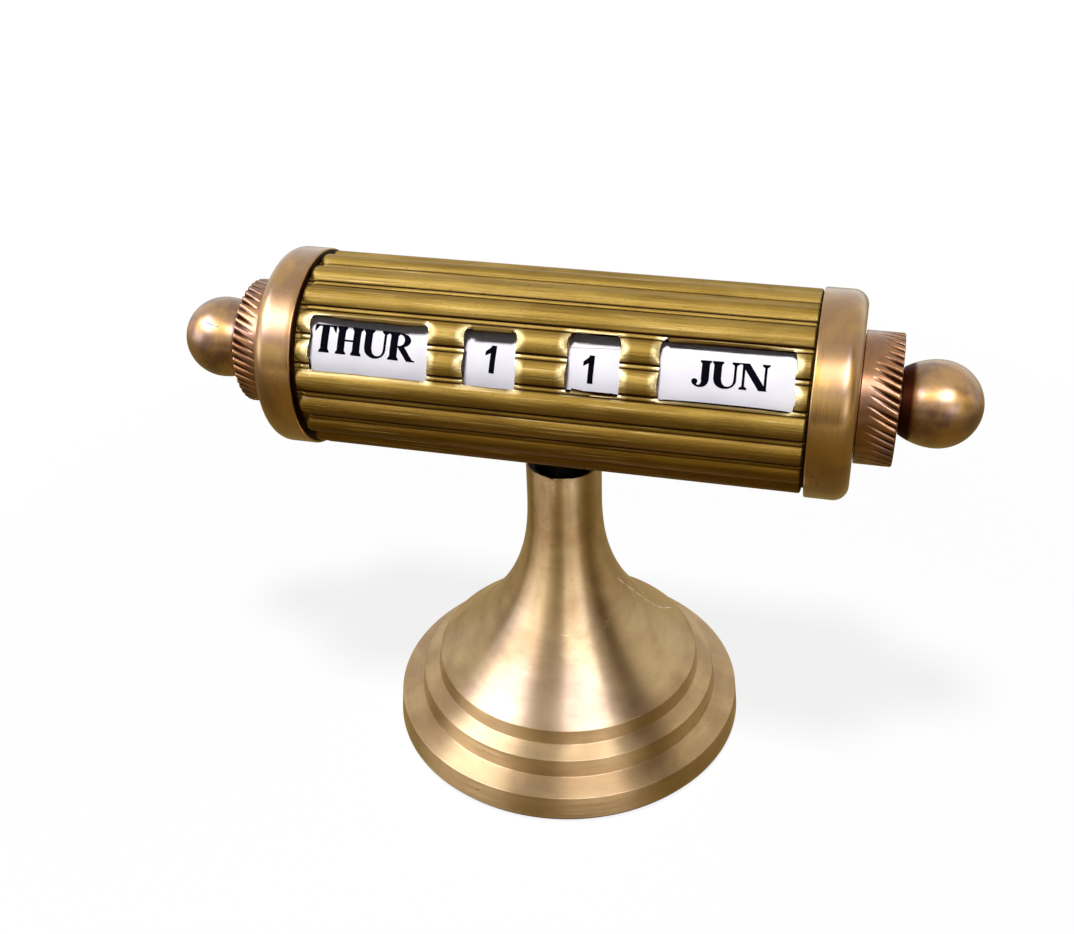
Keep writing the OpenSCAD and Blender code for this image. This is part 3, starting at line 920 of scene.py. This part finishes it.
def make_tube():
    """A plain tube shaped into reeds, pressed and punched at the windows, then given a wall."""
    # degrees from the middle of a reed to its points, and to those of the groove beside it
    half_reed = [2.3, 4.3, 5.9, 7.0, 7.29]
    one_reed = [-a for a in reversed(half_reed)] + [0.0] + half_reed
    bead = [7.45, 7.8, 8.5, 9.35, 10.1, 10.6]
    around = [(i + 0.5) * PITCH + REED_TURN + a for i in range(REEDS) for a in one_reed + bead]
    tube = draw_tube(tube_stations(), len(around))
    shape_reeds(tube, around)
    punch_windows(tube)
    edit()
    face_out()
    face = tube.data.polygons[0]
    if face.normal.dot(face.center - Vector((0, 0, AXIS_Z))) < 0:
        edit_all()
        mesh.flip_normals()
        leave()
    skin = len(tube.data.vertices)
    wall = tube.modifiers.new("wall", "SOLIDIFY")
    wall.thickness = TUBE_WALL
    wall.offset = -1
    choose(tube)
    bpy.ops.object.modifier_apply(modifier="wall")
    # the inner wall is painted fully dark as shade, and gets no highlight
    for i in range(skin, len(tube.data.vertices)):
        tube.data.attributes["valley"].data[i].value = 1.0
        tube.data.attributes["pressed"].data[i].value = 0.0
    smooth_piece(tube, 38)
    install(tube, "stand_and_tube", TUBE_BRASS, "aged_tube_brass", "housing_tube")


# ---------- caps, collars and knobs ----------


def make_cap(side, hand):
    middle = (CAP_R - CAP_CORNER, CAP_FACE - CAP_CORNER)
    rim = CAP_R - CAP_LIP
    outline = [(SPIGOT_R + FIT, CAP_X), (rim - 1.2 * LIP_LINE, CAP_X), (rim, CAP_X)]
    outline += arc((rim, CAP_X + CAP_LIP), CAP_LIP, -90, 0, 3)[1:]
    outline += between(outline[-1], (CAP_R, middle[1]), 5)
    outline += arc(middle, CAP_CORNER, 0, 90, 12)
    outline += [
        (SLEEVE_R + BORE_GAP + BORE_EDGE, CAP_FACE),
        (SLEEVE_R + BORE_GAP, CAP_FACE - BORE_EDGE),
        (SLEEVE_R + BORE_GAP, BOSS_X),
        (BOSS_R, BOSS_X),
        (BOSS_R, CAP_FACE - CAP_WALL),
        (SPIGOT_R + FIT, CAP_FACE - CAP_WALL),
    ]
    placed = [(radius, side * station) for radius, station in outline]
    cap = turn_on_lathe(hand + "_cap", placed, steps=224, smooth=30)
    # painted shade on the cap's back around the tube, inside its lip
    shaded = []
    for v in cap.data.vertices:
        at_tube = abs(v.co.x) < CAP_X + 0.01 * MM and off_axis(v.co) < rim - LIP_LINE
        shaded.append(1.0 if at_tube else 0.0)
    vertex_values(cap, "painted_shade_and_reflection", shaded)
    install(cap, "stand_and_tube", CAP_BRASS, "cap_brass", hand + "_end_cap")


def collar_outline():
    inner = CAP_FACE + COLLAR_BACK
    bore = SLEEVE_R + FIT
    outline = [(bore, COLLAR_X), (COLLAR_R - COLLAR_RIM, COLLAR_X), (COLLAR_R - 0.95 * COLLAR_RIM, inner)]
    outline += [(COLLAR_R - COLLAR_BACK, inner), (COLLAR_R, inner + COLLAR_BACK)]
    outline += between(outline[-1], (COLLAR_R, COLLAR_FACE - COLLAR_EDGE), 30)
    outline += arc((COLLAR_R - COLLAR_EDGE, COLLAR_FACE - COLLAR_EDGE), COLLAR_EDGE, 0, 90, 4)
    plate = COLLAR_R - COLLAR_PLATE
    outline += between(outline[-1], (plate, COLLAR_FACE), 5)
    outline += [(plate, COLLAR_FACE), (SLEEVE_R + 0.25 * MM, COLLAR_FACE)]
    return outline + [(bore, COLLAR_FACE - 0.2 * MM)]


def make_collar(side, ring, body, node_name):
    """A turned ring whose outer part carries slanted cuts made by hand, no two quite alike."""
    collar = turn_on_lathe(ring, collar_outline(), steps=KNURLS * 12, smooth=40)
    dice = random.Random(7 + side)
    jitter = [dice.uniform(-0.1, 0.1) for _ in range(KNURLS)]
    strength = [dice.uniform(0.65, 1.1) for _ in range(KNURLS)]
    wave = [0.25 * math.sin(2 * math.pi * i / KNURLS) for i in range(KNURLS)]
    reach = [KNURL_REACH * (dice.uniform(0.9, 1.1) - wave[i]) for i in range(KNURLS)]
    barrel = COLLAR_R - COLLAR_EDGE
    painted_shade_and_reflection = []
    for v in collar.data.vertices:
        y, z = v.co.y, v.co.z - AXIS_Z
        radius = math.hypot(y, z)
        depth = 0.0
        if radius > COLLAR_R - KNURL_SKIN and v.co.x > COLLAR_X + 0.2 * MM:
            drift = math.tan(KNURL_SLANT) * (v.co.x - COLLAR_FACE) / COLLAR_R
            spot = ((math.atan2(z, -y) + drift) / (2 * math.pi) * KNURLS) % KNURLS
            i = int(spot) % KNURLS
            share = spot - int(spot)
            share += jitter[i] * math.sin(share * math.pi)
            along = 1 - (COLLAR_FACE - v.co.x) / reach[i]
            if along > 0:
                width = CUT_NARROW + CUT_SPREAD * min(1.0, along * 1.3)
                valley = max(0.0, 1 - abs(share - 0.5) / width)
                inward = max(0.0, 1 - (barrel - radius) / KNURL_FADE) if radius < barrel else 1.0
                depth = KNURL_DEPTH * strength[i] * valley * min(1.0, along * 1.4) ** 0.7 * inward
        if depth and radius > barrel - 0.01 * MM:
            pull = (radius - depth) / radius
            v.co.y, v.co.z = y * pull, AXIS_Z + z * pull
        elif depth:
            v.co.x -= depth * FACE_SHARE
        painted_shade_and_reflection.append(depth / KNURL_DEPTH)
    # the knurl cuts carry painted shade, as deep as they are cut
    vertex_values(collar, "painted_shade_and_reflection", painted_shade_and_reflection)
    if side < 0:
        collar.data.transform(Matrix.Rotation(math.pi, 4, "Z"))
    install(collar, body, COLLAR_BRASS, "collar_brass", node_name)


def make_knob(side, ball, body, node_name):
    """A ball with a hollowed neck behind it and a bore for its shaft."""
    ball_x = KNOB_TIP - BALL_R
    start = math.degrees(math.asin((ball_x - KNOB_X) / KNOB_BACK_R))
    neck = arc((BALL_R - KNOB_BACK_R, ball_x), KNOB_BACK_R, -start + 1.2, 0, 16)
    back = neck[0][0]
    outline = [(back - 0.35 * MM, KNOB_X), (back - 0.08 * MM, KNOB_X + 0.08 * MM)] + neck
    outline += arc((0, ball_x), BALL_R, 0, 90, 26)[1:-1]
    bore = KNOB_X + KNOB_BORE
    outline += [(PIN_HOLE, KNOB_TIP), (PIN_HOLE, bore), (SHAFT_R, bore - 1.0 * MM), (SHAFT_R, KNOB_X)]
    placed = [(radius, side * station) for radius, station in outline]
    knob = turn_on_lathe(ball, placed, steps=128, smooth=40)
    # a painted dark reflection of the collar on the ball's neck, fading towards the ball
    clean = KNOB_X + NECK_REFLECTION
    collar_reflection = [1 - share_of(abs(v.co.x) - clean, NECK_FADE) for v in knob.data.vertices]
    vertex_values(knob, "painted_shade_and_reflection", collar_reflection)
    install(knob, body, KNOB_BRASS, "knob_brass", node_name)


# ---------- paper bands ----------


def make_band(dial, band_r, seam=-90, lift=0.0, skew=0.0):
    """A strip of paper bent round the drum to meet at the seam; its lower end may stand off a little."""
    node_name = dial + "_paper_band"
    low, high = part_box(node_name)
    middle = (low.x + high.x) / 2
    turn = math.radians(360 - math.degrees(PAPER_SLIT / band_r))
    clear_selection()
    mesh.primitive_plane_add(size=1)
    name_piece(dial + "_paper")
    edit_all()
    bpy.ops.transform.resize(value=(high.x - low.x, PAPER_T, 1))
    bpy.ops.transform.rotate(value=-math.pi / 2, orient_axis="X", center_override=(0, 0, 0))
    bpy.ops.transform.translate(value=(middle, 0, AXIS_Z + band_r - PAPER_T / 2))
    mesh.spin(steps=240, angle=turn, center=(0, 0, AXIS_Z), axis=(1, 0, 0))
    face_out()
    band = bpy.context.object
    for v in band.data.vertices:
        away = (math.degrees(math.atan2(v.co.y, v.co.z - AXIS_Z)) + 180) % 360 - 180
        radius = off_axis(v.co)
        if -CURL < away < 0:
            radius += lift * (1 + away / CURL) ** 2
        lifted = math.radians(seam + away + skew * (v.co.x - middle) / MM)
        v.co = from_front(v.co.x, radius, lifted)
    smooth_piece(band, 40)
    install(band, dial + "_dial", PAPER, "paper", node_name)


# ---------- lettering: flat shapes laid out on a strip, cut in narrow steps and bent round a drum ----------

STEM, HAIR, SLAB = 0.28, 0.095, 0.062
PEN = 0.2


def block(x0, y0, x1, y1):
    return [[(x0, y0), (x1, y0), (x1, y1), (x0, y1)]]


def slope(foot_x, head_x, width, y0=0.0, y1=1.0):
    half = width / 2
    return [[(foot_x - half, y0), (foot_x + half, y0), (head_x + half, y1), (head_x - half, y1)]]


def serif(x, y, reach, thick=STEM, down=False):
    """A thin foot with small brackets; down turns it into a head."""
    s = -1 if down else 1
    half = thick / 2
    thin, full = y + s * SLAB, y + s * SLAB * 2.2
    points = [(x - reach, y), (x + reach, y), (x + reach, thin), (x + half, full), (x - half, full)]
    return [(points + [(x - reach, thin)])[::s]]


def head(x, reach=0.2, thick=STEM):
    return serif(x, 1.0, reach, thick, down=True)


def bow(outer, inner, start, end, steps=18):
    """A curved stroke between two ellipses, each given by its left, right, lower and upper limits."""

    def spot(limits, step):
        left, right, low, high = limits
        a = math.radians(start + (end - start) * step / steps)
        x = (left + right) / 2 + (right - left) / 2 * math.cos(a)
        return x, (low + high) / 2 + (high - low) / 2 * math.sin(a)

    return [[spot(inner, i), spot(outer, i), spot(outer, i + 1), spot(inner, i + 1)] for i in range(steps)]


def dot(x, y, radius):
    return [arc((x, y), radius, 0, 345, 23)]


def brush(marks):
    """A stroke through (x, y, width) marks, smoothed between them."""
    path = []
    for i in range(len(marks) - 1):
        p0, p1, p2, p3 = (Vector(marks[min(max(k, 0), len(marks) - 1)]) for k in (i - 1, i, i + 1, i + 2))
        square = 2 * p0 - 5 * p1 + 4 * p2 - p3
        cube = 3 * p1 - p0 - 3 * p2 + p3
        for k in range(6):
            t = k / 6
            path.append(0.5 * (2 * p1 + (p2 - p0) * t + square * t**2 + cube * t**3))
    path.append(Vector(marks[-1]))
    sides = []
    for i, p in enumerate(path):
        along = path[min(i + 1, len(path) - 1)] - path[max(i - 1, 0)]
        across = Vector((-along.y, along.x)).normalized() * p.z / 2
        sides.append(((p.x - across.x, p.y - across.y), (p.x + across.x, p.y + across.y)))
    return [[a[0], b[0], b[1], a[1]] for a, b in zip(sides, sides[1:])]


def pen(*spots):
    """A stroke of a figure's own width."""
    return brush([(x, y, PEN) for x, y in spots])


def post(x, low=0.0, high=1.0, thick=STEM, foot=0.2, top=0.2):
    """An upright with its serifs."""
    made = block(x - thick / 2, low, x + thick / 2, high)
    if foot:
        made += serif(x, low, foot, thick)
    if top:
        made += serif(x, high, top, thick, down=True)
    return made


def belly(x, reach, low, high, thick=0.24):
    """The round side of B, D, P and R, with the thin strokes that join it to the upright."""
    thin, join = 0.065, x + 0.18
    outer = (2 * join - reach, reach, low, high)
    inner = (2 * join - reach + thick, reach - thick, low + thin, high - thin)
    thin_strokes = block(x, low, join, low + thin) + block(x, high - thin, join, high)
    return thin_strokes + bow(outer, inner, -90, 90)


def arm(x0, x1, y, tip, up=False):
    """A thin level stroke that ends in a small wedge."""
    s = 1 if up else -1
    y0, y1 = (y, y + SLAB * 1.1) if up else (y - SLAB * 1.1, y)
    wedge = [(x1 - 0.16, y + s * SLAB), (x1, y), (x1, y + s * tip), (x1 - 0.03, y + s * tip)]
    return block(x0, y0, x1, y1) + [wedge[::s]]


def mirror(shapes, width):
    return [[(width - x, y) for x, y in shape][::-1] for shape in shapes]


def ring(box, start=0, end=360):
    """A round stroke of a figure's own width."""
    left, right, low, high = box
    return bow(box, (left + PEN, right - PEN, low + PEN * 0.85, high - PEN * 0.85), start, end, 28)


S_STROKE = [
    (0.61, 0.76, 0.05), (0.54, 0.9, 0.09), (0.37, 0.96, 0.1), (0.19, 0.8, 0.2), (0.3, 0.6, 0.27),
    (0.44, 0.42, 0.28), (0.57, 0.22, 0.2), (0.37, 0.04, 0.1), (0.19, 0.1, 0.09), (0.1, 0.26, 0.05),
]
# each capital: its width and its shapes, where the height is 1
LETTERS = {
    "A": (1.0, slope(0.15, 0.46, HAIR) + slope(0.78, 0.48, 0.27) + block(0.24, 0.3, 0.64, 0.36)
          + serif(0.15, 0, 0.14, HAIR) + serif(0.79, 0, 0.2)),
    "B": (0.92, post(0.2) + belly(0.2, 0.82, 0.5, 1.0) + belly(0.2, 0.89, 0.0, 0.56)),
    "C": (0.94, bow((0.04, 1.0, -0.02, 1.02), (0.3, 0.98, 0.06, 0.94), 48, 318, 30)
          + block(0.84, 0.64, 0.89, 1.0)),
    "D": (1.0, post(0.2) + belly(0.2, 0.97, 0.0, 1.0, 0.26)),
    "E": (0.86, post(0.2) + arm(0.2, 0.82, 1.0, 0.26) + arm(0.2, 0.86, 0.0, 0.28, up=True)
          + block(0.2, 0.48, 0.62, 0.54) + block(0.58, 0.36, 0.62, 0.66)),
    "F": (0.8, post(0.2) + arm(0.2, 0.8, 1.0, 0.26) + block(0.2, 0.48, 0.6, 0.54)
          + block(0.56, 0.36, 0.6, 0.66)),
    "G": (1.02, bow((0.04, 1.02, -0.02, 1.02), (0.3, 0.96, 0.06, 0.94), 48, 300, 30)
          + block(0.88, 0.66, 0.93, 1.0) + block(0.7, 0.0, 0.95, 0.42) + serif(0.82, 0.46, 0.2, down=True)),
    "H": (1.02, post(0.22) + post(0.8) + block(0.2, 0.47, 0.82, 0.54)),
    "I": (0.48, post(0.24)),
    "J": (0.7, post(0.48, 0.24, foot=0) + bow((0.0, 0.605, -0.02, 0.5), (0.14, 0.355, 0.065, 0.42), 200, 360)
          + dot(0.12, 0.19, 0.11)),
    "L": (0.84, post(0.2) + arm(0.2, 0.84, 0.0, 0.3, up=True)),
    "M": (1.26, post(0.16, thick=HAIR, foot=0.14, top=0) + post(1.04) + slope(0.61, 0.22, 0.28)
          + slope(0.65, 0.98, HAIR) + block(0.02, 1 - SLAB, 0.3, 1.0)),
    "N": (1.08, post(0.16, thick=HAIR, foot=0.14, top=0) + post(0.93, thick=HAIR, foot=0, top=0.14)
          + slope(0.86, 0.2, 0.3) + block(0.0, 1 - SLAB, 0.3, 1.0)),
    "O": (1.04, bow((0.03, 1.01, -0.02, 1.02), (0.3, 0.74, 0.05, 0.95), 0, 360, 36)),
    "P": (0.84, post(0.2) + belly(0.2, 0.84, 0.42, 1.0)),
    "R": (0.98, post(0.2) + belly(0.2, 0.82, 0.46, 1.0) + slope(0.84, 0.46, 0.27, 0.0, 0.5)
          + block(0.71, 0.0, 1.01, SLAB)),
    "S": (0.74, brush(S_STROKE) + block(0.61, 0.68, 0.66, 1.0) + block(0.06, 0.0, 0.11, 0.34)),
    "T": (0.82, post(0.41, top=0) + arm(0.41, 0.82, 1.0, 0.26) + mirror(arm(0.41, 0.82, 1.0, 0.26), 0.82)),
    "U": (0.98, post(0.22, 0.3, foot=0) + post(0.84, 0.3, thick=HAIR, foot=0, top=0.14)
          + bow((0.095, 0.8825, -0.02, 0.62), (0.375, 0.7875, 0.075, 0.525), 180, 360)),
    "V": (1.0, slope(0.52, 0.22, 0.27) + slope(0.55, 0.85, HAIR) + head(0.22) + head(0.85, 0.14, HAIR)),
    "W": (1.38, slope(0.42, 0.2, 0.25) + slope(0.45, 0.68, HAIR) + slope(0.92, 0.68, 0.25)
          + slope(0.95, 1.25, HAIR) + head(0.2) + head(0.68, 0.18) + head(1.25, 0.13, HAIR)),
    "Y": (0.98, post(0.51, high=0.48, top=0) + slope(0.51, 0.22, 0.27, 0.44)
          + slope(0.56, 0.83, HAIR, 0.44) + head(0.22) + head(0.83, 0.14, HAIR)),
}
# plain bold figures, about 0.57 wide and 1 high
FIGURES = {
    "0": ring((0.0, 0.58, -0.01, 1.01)),
    "1": block(0.28, 0, 0.28 + PEN, 1) + [[(0.09, 0.6), (0.28, 0.71), (0.28, 0.94), (0.09, 0.765)]]
    + [[(0.28, 0.7), (0.3, 0.7), (0.34, 1.0), (0.28, 0.92)]],
    "2": pen((0.09, 0.7), (0.14, 0.85), (0.3, 0.91), (0.45, 0.8), (0.44, 0.62), (0.3, 0.42), (0.13, 0.2),
             (0.08, 0.08)) + block(0.0, 0, 0.56, PEN * 0.9),
    "3": ring((-0.02, 0.54, 0.46, 1.01), -95, 165) + ring((-0.02, 0.57, -0.01, 0.57), -170, 95),
    "4": block(0.33, 0, 0.33 + PEN, 1) + slope(0.09, 0.4, PEN, 0.3)
    + block(0.0, 0.22, 0.6, 0.22 + PEN * 0.9),
    "5": block(0.08, 1 - PEN * 0.9, 0.52, 1) + slope(0.12, 0.16, PEN, 0.45)
    + ring((-0.02, 0.57, -0.01, 0.64), -170, 140),
    "6": ring((0.0, 0.57, -0.01, 0.62))
    + pen((0.09, 0.3), (0.1, 0.6), (0.2, 0.85), (0.34, 0.92), (0.48, 0.84)),
    "7": block(0.0, 1 - PEN * 0.9, 0.56, 1) + pen((0.48, 0.88), (0.34, 0.62), (0.25, 0.3), (0.22, 0.0)),
    "8": ring((0.03, 0.54, 0.45, 1.01)) + ring((0.0, 0.57, -0.01, 0.59)),
}
FIGURES["9"] = [[(0.57 - x, 1 - y) for x, y in shape] for shape in FIGURES["6"]]


def set_word(word, width_scale, gap):
    """Shapes of a word in letter heights, starting at 0, and its length."""
    shapes, start = [], 0.0
    for key in word:
        width, parts = LETTERS[key]
        shapes += [[((start + x) * width_scale, y) for x, y in shape] for shape in parts]
        start += width + gap
    return shapes, (start - gap) * width_scale


def print_band(dial, band_r, prints, height, level, lean):
    """prints: for each print its shapes, its left edge, and its turn round the drum from the shown one."""
    name = dial + "_print"
    points, faces = [], []
    c, s = math.cos(math.radians(lean)), math.sin(math.radians(lean))
    for (shapes, left), turn in prints:
        for shape in shapes:
            faces.append(list(range(len(points), len(points) + len(shape))))
            for x, y in shape:
                x, y = x * height, (y - 0.5) * height
                points.append((left + x * c - y * s, level + x * s + y * c + turn * band_r, 0))
    sheet = bpy.data.meshes.new(name)
    sheet.from_pydata(points, [], faces)
    ink = bpy.data.objects.new(name, sheet)
    bpy.context.scene.collection.objects.link(ink)
    choose(ink)
    edit()
    low, high = min(p[1] for p in points), max(p[1] for p in points)
    for k in range(math.ceil(low / MM), math.floor(high / MM) + 1):
        mesh.select_all(action="SELECT")
        mesh.bisect(plane_co=(0, k * MM, 0), plane_no=(0, 1, 0))
    leave()
    for v in sheet.vertices:
        v.co = from_front(v.co.x, band_r + INK_LIFT, math.radians(PRINT_TILT) + v.co.y / band_r)
    install(ink, dial + "_dial", INK, "paper")


def round_drum(prints, shown):
    """Each print with its place round the drum, so that the shown one faces out."""
    return [(made, 2 * math.pi * (k - shown) / len(prints)) for k, made in enumerate(prints)]


def print_words(dial, text, shown, height, middle, width_scale, gap, lean):
    words = text.split()
    prints = []
    for word in words:
        shapes, length = set_word(word, width_scale, gap)
        prints.append((shapes, middle - length * height / 2))
    print_band(dial, WORD_R, round_drum(prints, words.index(shown)), height, WORD_LEVEL, lean)


def print_figures(dial, keys, left, level, lean):
    prints = [(FIGURES[key], left) for key in keys]
    print_band(dial, DIGIT_R, round_drum(prints, keys.index("1")), FIGURE_HEIGHT, level, lean)


# ---------- making everything ----------

make_foot()
make_tube()
make_cap(-1, "left")
make_cap(1, "right")
make_collar(-1, "day_ring", "day_dial", "day_collar")
make_collar(1, "month_ring", "month_dial", "month_collar")
make_knob(-1, "tens_ball", "tens_dial", "tens_knob")
make_knob(1, "units_ball", "units_dial", "units_knob")
make_band("day", WORD_R)
make_band("tens", DIGIT_R)
make_band("units", DIGIT_R, UNITS_SEAM, lift=0.12 * MM, skew=0.2)
make_band("month", WORD_R)
print_words("day", "SUN MON TUE WED THUR FRI SAT", "THUR", 5.12 * MM, -33.65 * MM, 1.0, 0.0, -1.0)
MONTHS = "JAN FEB MAR APR MAY JUN JUL AUG SEP OCT NOV DEC"
print_words("month", MONTHS, "JUN", 4.6 * MM, 32.95 * MM, 1.06, -0.01, 1.0)
print_figures("tens", "01230123", -11.34 * MM, -1.285 * MM, -2.4)
print_figures("units", "0123456789", 6.6 * MM, -1.5 * MM, -0.5)

INNER = {
    INNER_BRASS: ("centre_block", "sleeve", "hub_disc", "idle_disc", "drum_tube", "discs"),
    PLATED_STEEL: ("stand_screw", "stand_washer", "spring_washer", "shaft", "tens_spacer", "units_spacer"),
    BLACK_STEEL: ("stand_spacer", "collar_screw"),
    FIBRE: ("thrust_washer",),
    FELT: ("base_pad",),
}
for name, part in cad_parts.items():
    for material, endings in INNER.items():
        if name.endswith(endings):
            drop(material, part)


# ---------- floor, light and camera ----------


def bare_tree(owner):
    owner.use_nodes = True
    owner.node_tree.nodes.clear()
    return owner.node_tree


def seen_itself(tree):
    """1 where the camera sees it, straight or in a mirror, and 0 where it only lights something."""
    path = node(tree, "LightPath")
    seen = path.maths("MAXIMUM", path.pick("Is Glossy Ray"))
    return seen.maths("MAXIMUM", path.pick("Is Transmission Ray"))


def grey(level):
    return (level, level, level, 1)


def make_floor():
    """A floor that shows white and keeps a soft shadow, and throws little light back."""
    clear_selection()
    mesh.primitive_plane_add(size=4)
    floor = name_piece("floor")
    material = bpy.data.materials.new("floor")
    tree = bare_tree(material)
    reach = node(tree, "TexCoord", out="Object").vector("LENGTH")
    lit = node(tree, "BsdfDiffuse", {"Color": grey(0.25)})
    half = node(tree, "BsdfDiffuse", {"Color": grey(0.1)})
    glow = node(tree, "Emission", {"Color": grey(1), "Strength": reach.span(0.1, 0.45, 0.87, 1.0)})
    shown = node(tree, "AddShader", {0: half, 1: glow})
    both = node(tree, "MixShader", {0: seen_itself(tree), 1: lit, 2: shown})
    node(tree, "OutputMaterial", {"Surface": both})
    drop(material, floor)


def make_world():
    """A pale room that lights the calendar only weakly and warmly by itself."""
    world = bpy.data.worlds.new("studio")
    bpy.context.scene.world = world
    tree = bare_tree(world)
    fill = node(tree, "Background", {"Color": (1.0, 0.9, 0.82, 1), "Strength": 0.07})
    pale = node(tree, "Background", {"Color": grey(1), "Strength": 1.0})
    both = node(tree, "MixShader", {0: seen_itself(tree), 1: fill, 2: pale})
    node(tree, "OutputWorld", {"Surface": both})


def direction(azimuth, elevation):
    a, e = math.radians(azimuth), math.radians(elevation)
    return Vector((math.sin(a) * math.cos(e), -math.cos(a) * math.cos(e), math.sin(e)))


def hang_card(card, near, far, start, stop, upright=True):
    """Only polished metal sees a card. Its light runs from one tone to another, by height or distance."""
    material = bpy.data.materials.new(card.name)
    tree = bare_tree(material)
    place = node(tree, "TexCoord", out="Object")
    reach = node(tree, "SeparateXYZ", {0: place}, out=2) if upright else place.vector("LENGTH")
    tone = reach.span(start, stop).blend((*near, 1), (*far, 1))
    node(tree, "OutputMaterial", {"Surface": node(tree, "Emission", {"Color": tone})})
    drop(material, card)
    for ray in ("camera", "diffuse", "transmission", "volume_scatter", "shadow"):
        setattr(card, "visible_" + ray, False)


def flat_card(name, width, height, place, turn, lean):
    clear_selection()
    mesh.primitive_plane_add(size=1)
    card = name_piece(name)
    turned = Matrix.Rotation(math.radians(turn), 4, "Z") @ Matrix.Rotation(math.radians(lean), 4, "X")
    card.data.transform(Matrix.Translation(place) @ turned @ Matrix.Diagonal((width, height, 1, 1)))
    return card


def make_cards():
    """Darker things in the room for the brass to mirror: table, low wall, and a card aside and in front."""
    clear_selection()
    mesh.primitive_circle_add(vertices=48, radius=0.8, fill_type="NGON", location=(0, 0, 0.5 * MM))
    table = name_piece("table_card")
    bpy.ops.object.transform_apply(location=True)
    hang_card(table, (0.27, 0.2, 0.07), (0.5, 0.43, 0.3), 0.08, 0.7, upright=False)
    clear_selection()
    tall = 0.45
    mesh.primitive_cylinder_add(
        vertices=48, radius=1.3, depth=tall, end_fill_type="NOTHING", location=(0, 0, tall / 2)
    )
    wall = name_piece("low_wall_card")
    bpy.ops.object.transform_apply(location=True)
    edit()
    mesh.select_all(action="DESELECT")
    leave()
    for v in wall.data.vertices:
        v.select = v.co.y > 0.3
    edit()
    mesh.delete(type="VERT")
    leave()
    hang_card(wall, (0.42, 0.36, 0.26), (0.95, 0.93, 0.9), 0.1, tall)
    side = flat_card("side_card", 0.34, 1.1, direction(77, 30), 77, 60)
    hang_card(side, (0.2, 0.16, 0.1), (0.3, 0.26, 0.18), 0.0, 1.0)
    front = flat_card("front_card", 0.36, 0.5, Vector((-0.04, -1.0, 0.2)), 0, 90)
    hang_card(front, (0.12, 0.09, 0.05), (0.45, 0.38, 0.26), 0.15, 0.45)


def add_lamp(name, azimuth, elevation, size, level):
    """A soft lamp; level is the light it throws on a surface that faces it, where 1 shows white as white."""
    distance = 0.9
    towards = direction(azimuth, elevation)
    bpy.ops.object.light_add(type="AREA", location=Vector((0, 0, 60 * MM)) + towards * distance)
    lamp = bpy.context.object
    lamp.name = name
    lamp.rotation_mode = "QUATERNION"
    lamp.rotation_quaternion = towards.to_track_quat("Z", "Y")
    lamp.data.shape = "RECTANGLE"
    lamp.data.size, lamp.data.size_y = size
    lamp.data.energy = level * math.pi**2 * distance**2
    return lamp


def make_lamps():
    """Cool daylight from tall windows that only the brass mirrors, and a soft lamp overhead."""
    for name, azimuth, elevation, size, level in (
        ("window_left", -60, 43, (0.62, 0.4), 0.98),
        ("window_left_low", -68, 10, (0.5, 0.3), 0.16),
        ("window_right", 31, 49, (0.5, 0.38), 0.72),
        ("window_right_low", 42, 14, (0.34, 0.3), 0.08),
    ):
        lamp = add_lamp(name, azimuth, elevation, size, level)
        lamp.data.color = (0.84, 0.93, 1.35)
        lamp.visible_diffuse = False
    overhead = add_lamp("overhead", -8, 76, (0.15, 0.15), 1.38)
    overhead.visible_glossy = False


def make_camera():
    """Sees the calendar from the front right and above, with a slight roll."""
    yaw, lift, roll = 15.20, 32.81, -1.99
    aim = Vector((-5.49, 0, 59.41)) * MM
    distance = 270.33 * MM
    image_width, focal_pixels, sensor = 1074, 1366.91, 36
    back = direction(yaw, lift)
    right = (-back).cross(Vector((0, 0, 1))).normalized()
    up = right.cross(-back)
    c, s = math.cos(math.radians(roll)), math.sin(math.radians(roll))
    bpy.ops.object.camera_add(location=aim + back * distance)
    camera = bpy.context.object
    camera.name = "camera"
    camera.rotation_mode = "QUATERNION"
    turn = Matrix((right * c + up * s, up * c - right * s, back)).transposed()
    camera.rotation_quaternion = turn.to_quaternion()
    camera.data.sensor_width = sensor
    camera.data.lens = focal_pixels / image_width * sensor
    camera.data.clip_start = 0.01
    camera.data.clip_end = 20
    bpy.context.scene.camera = camera


make_floor()
make_world()
make_cards()
make_lamps()
make_camera()
bpy.context.scene.view_settings.view_transform = "Standard"
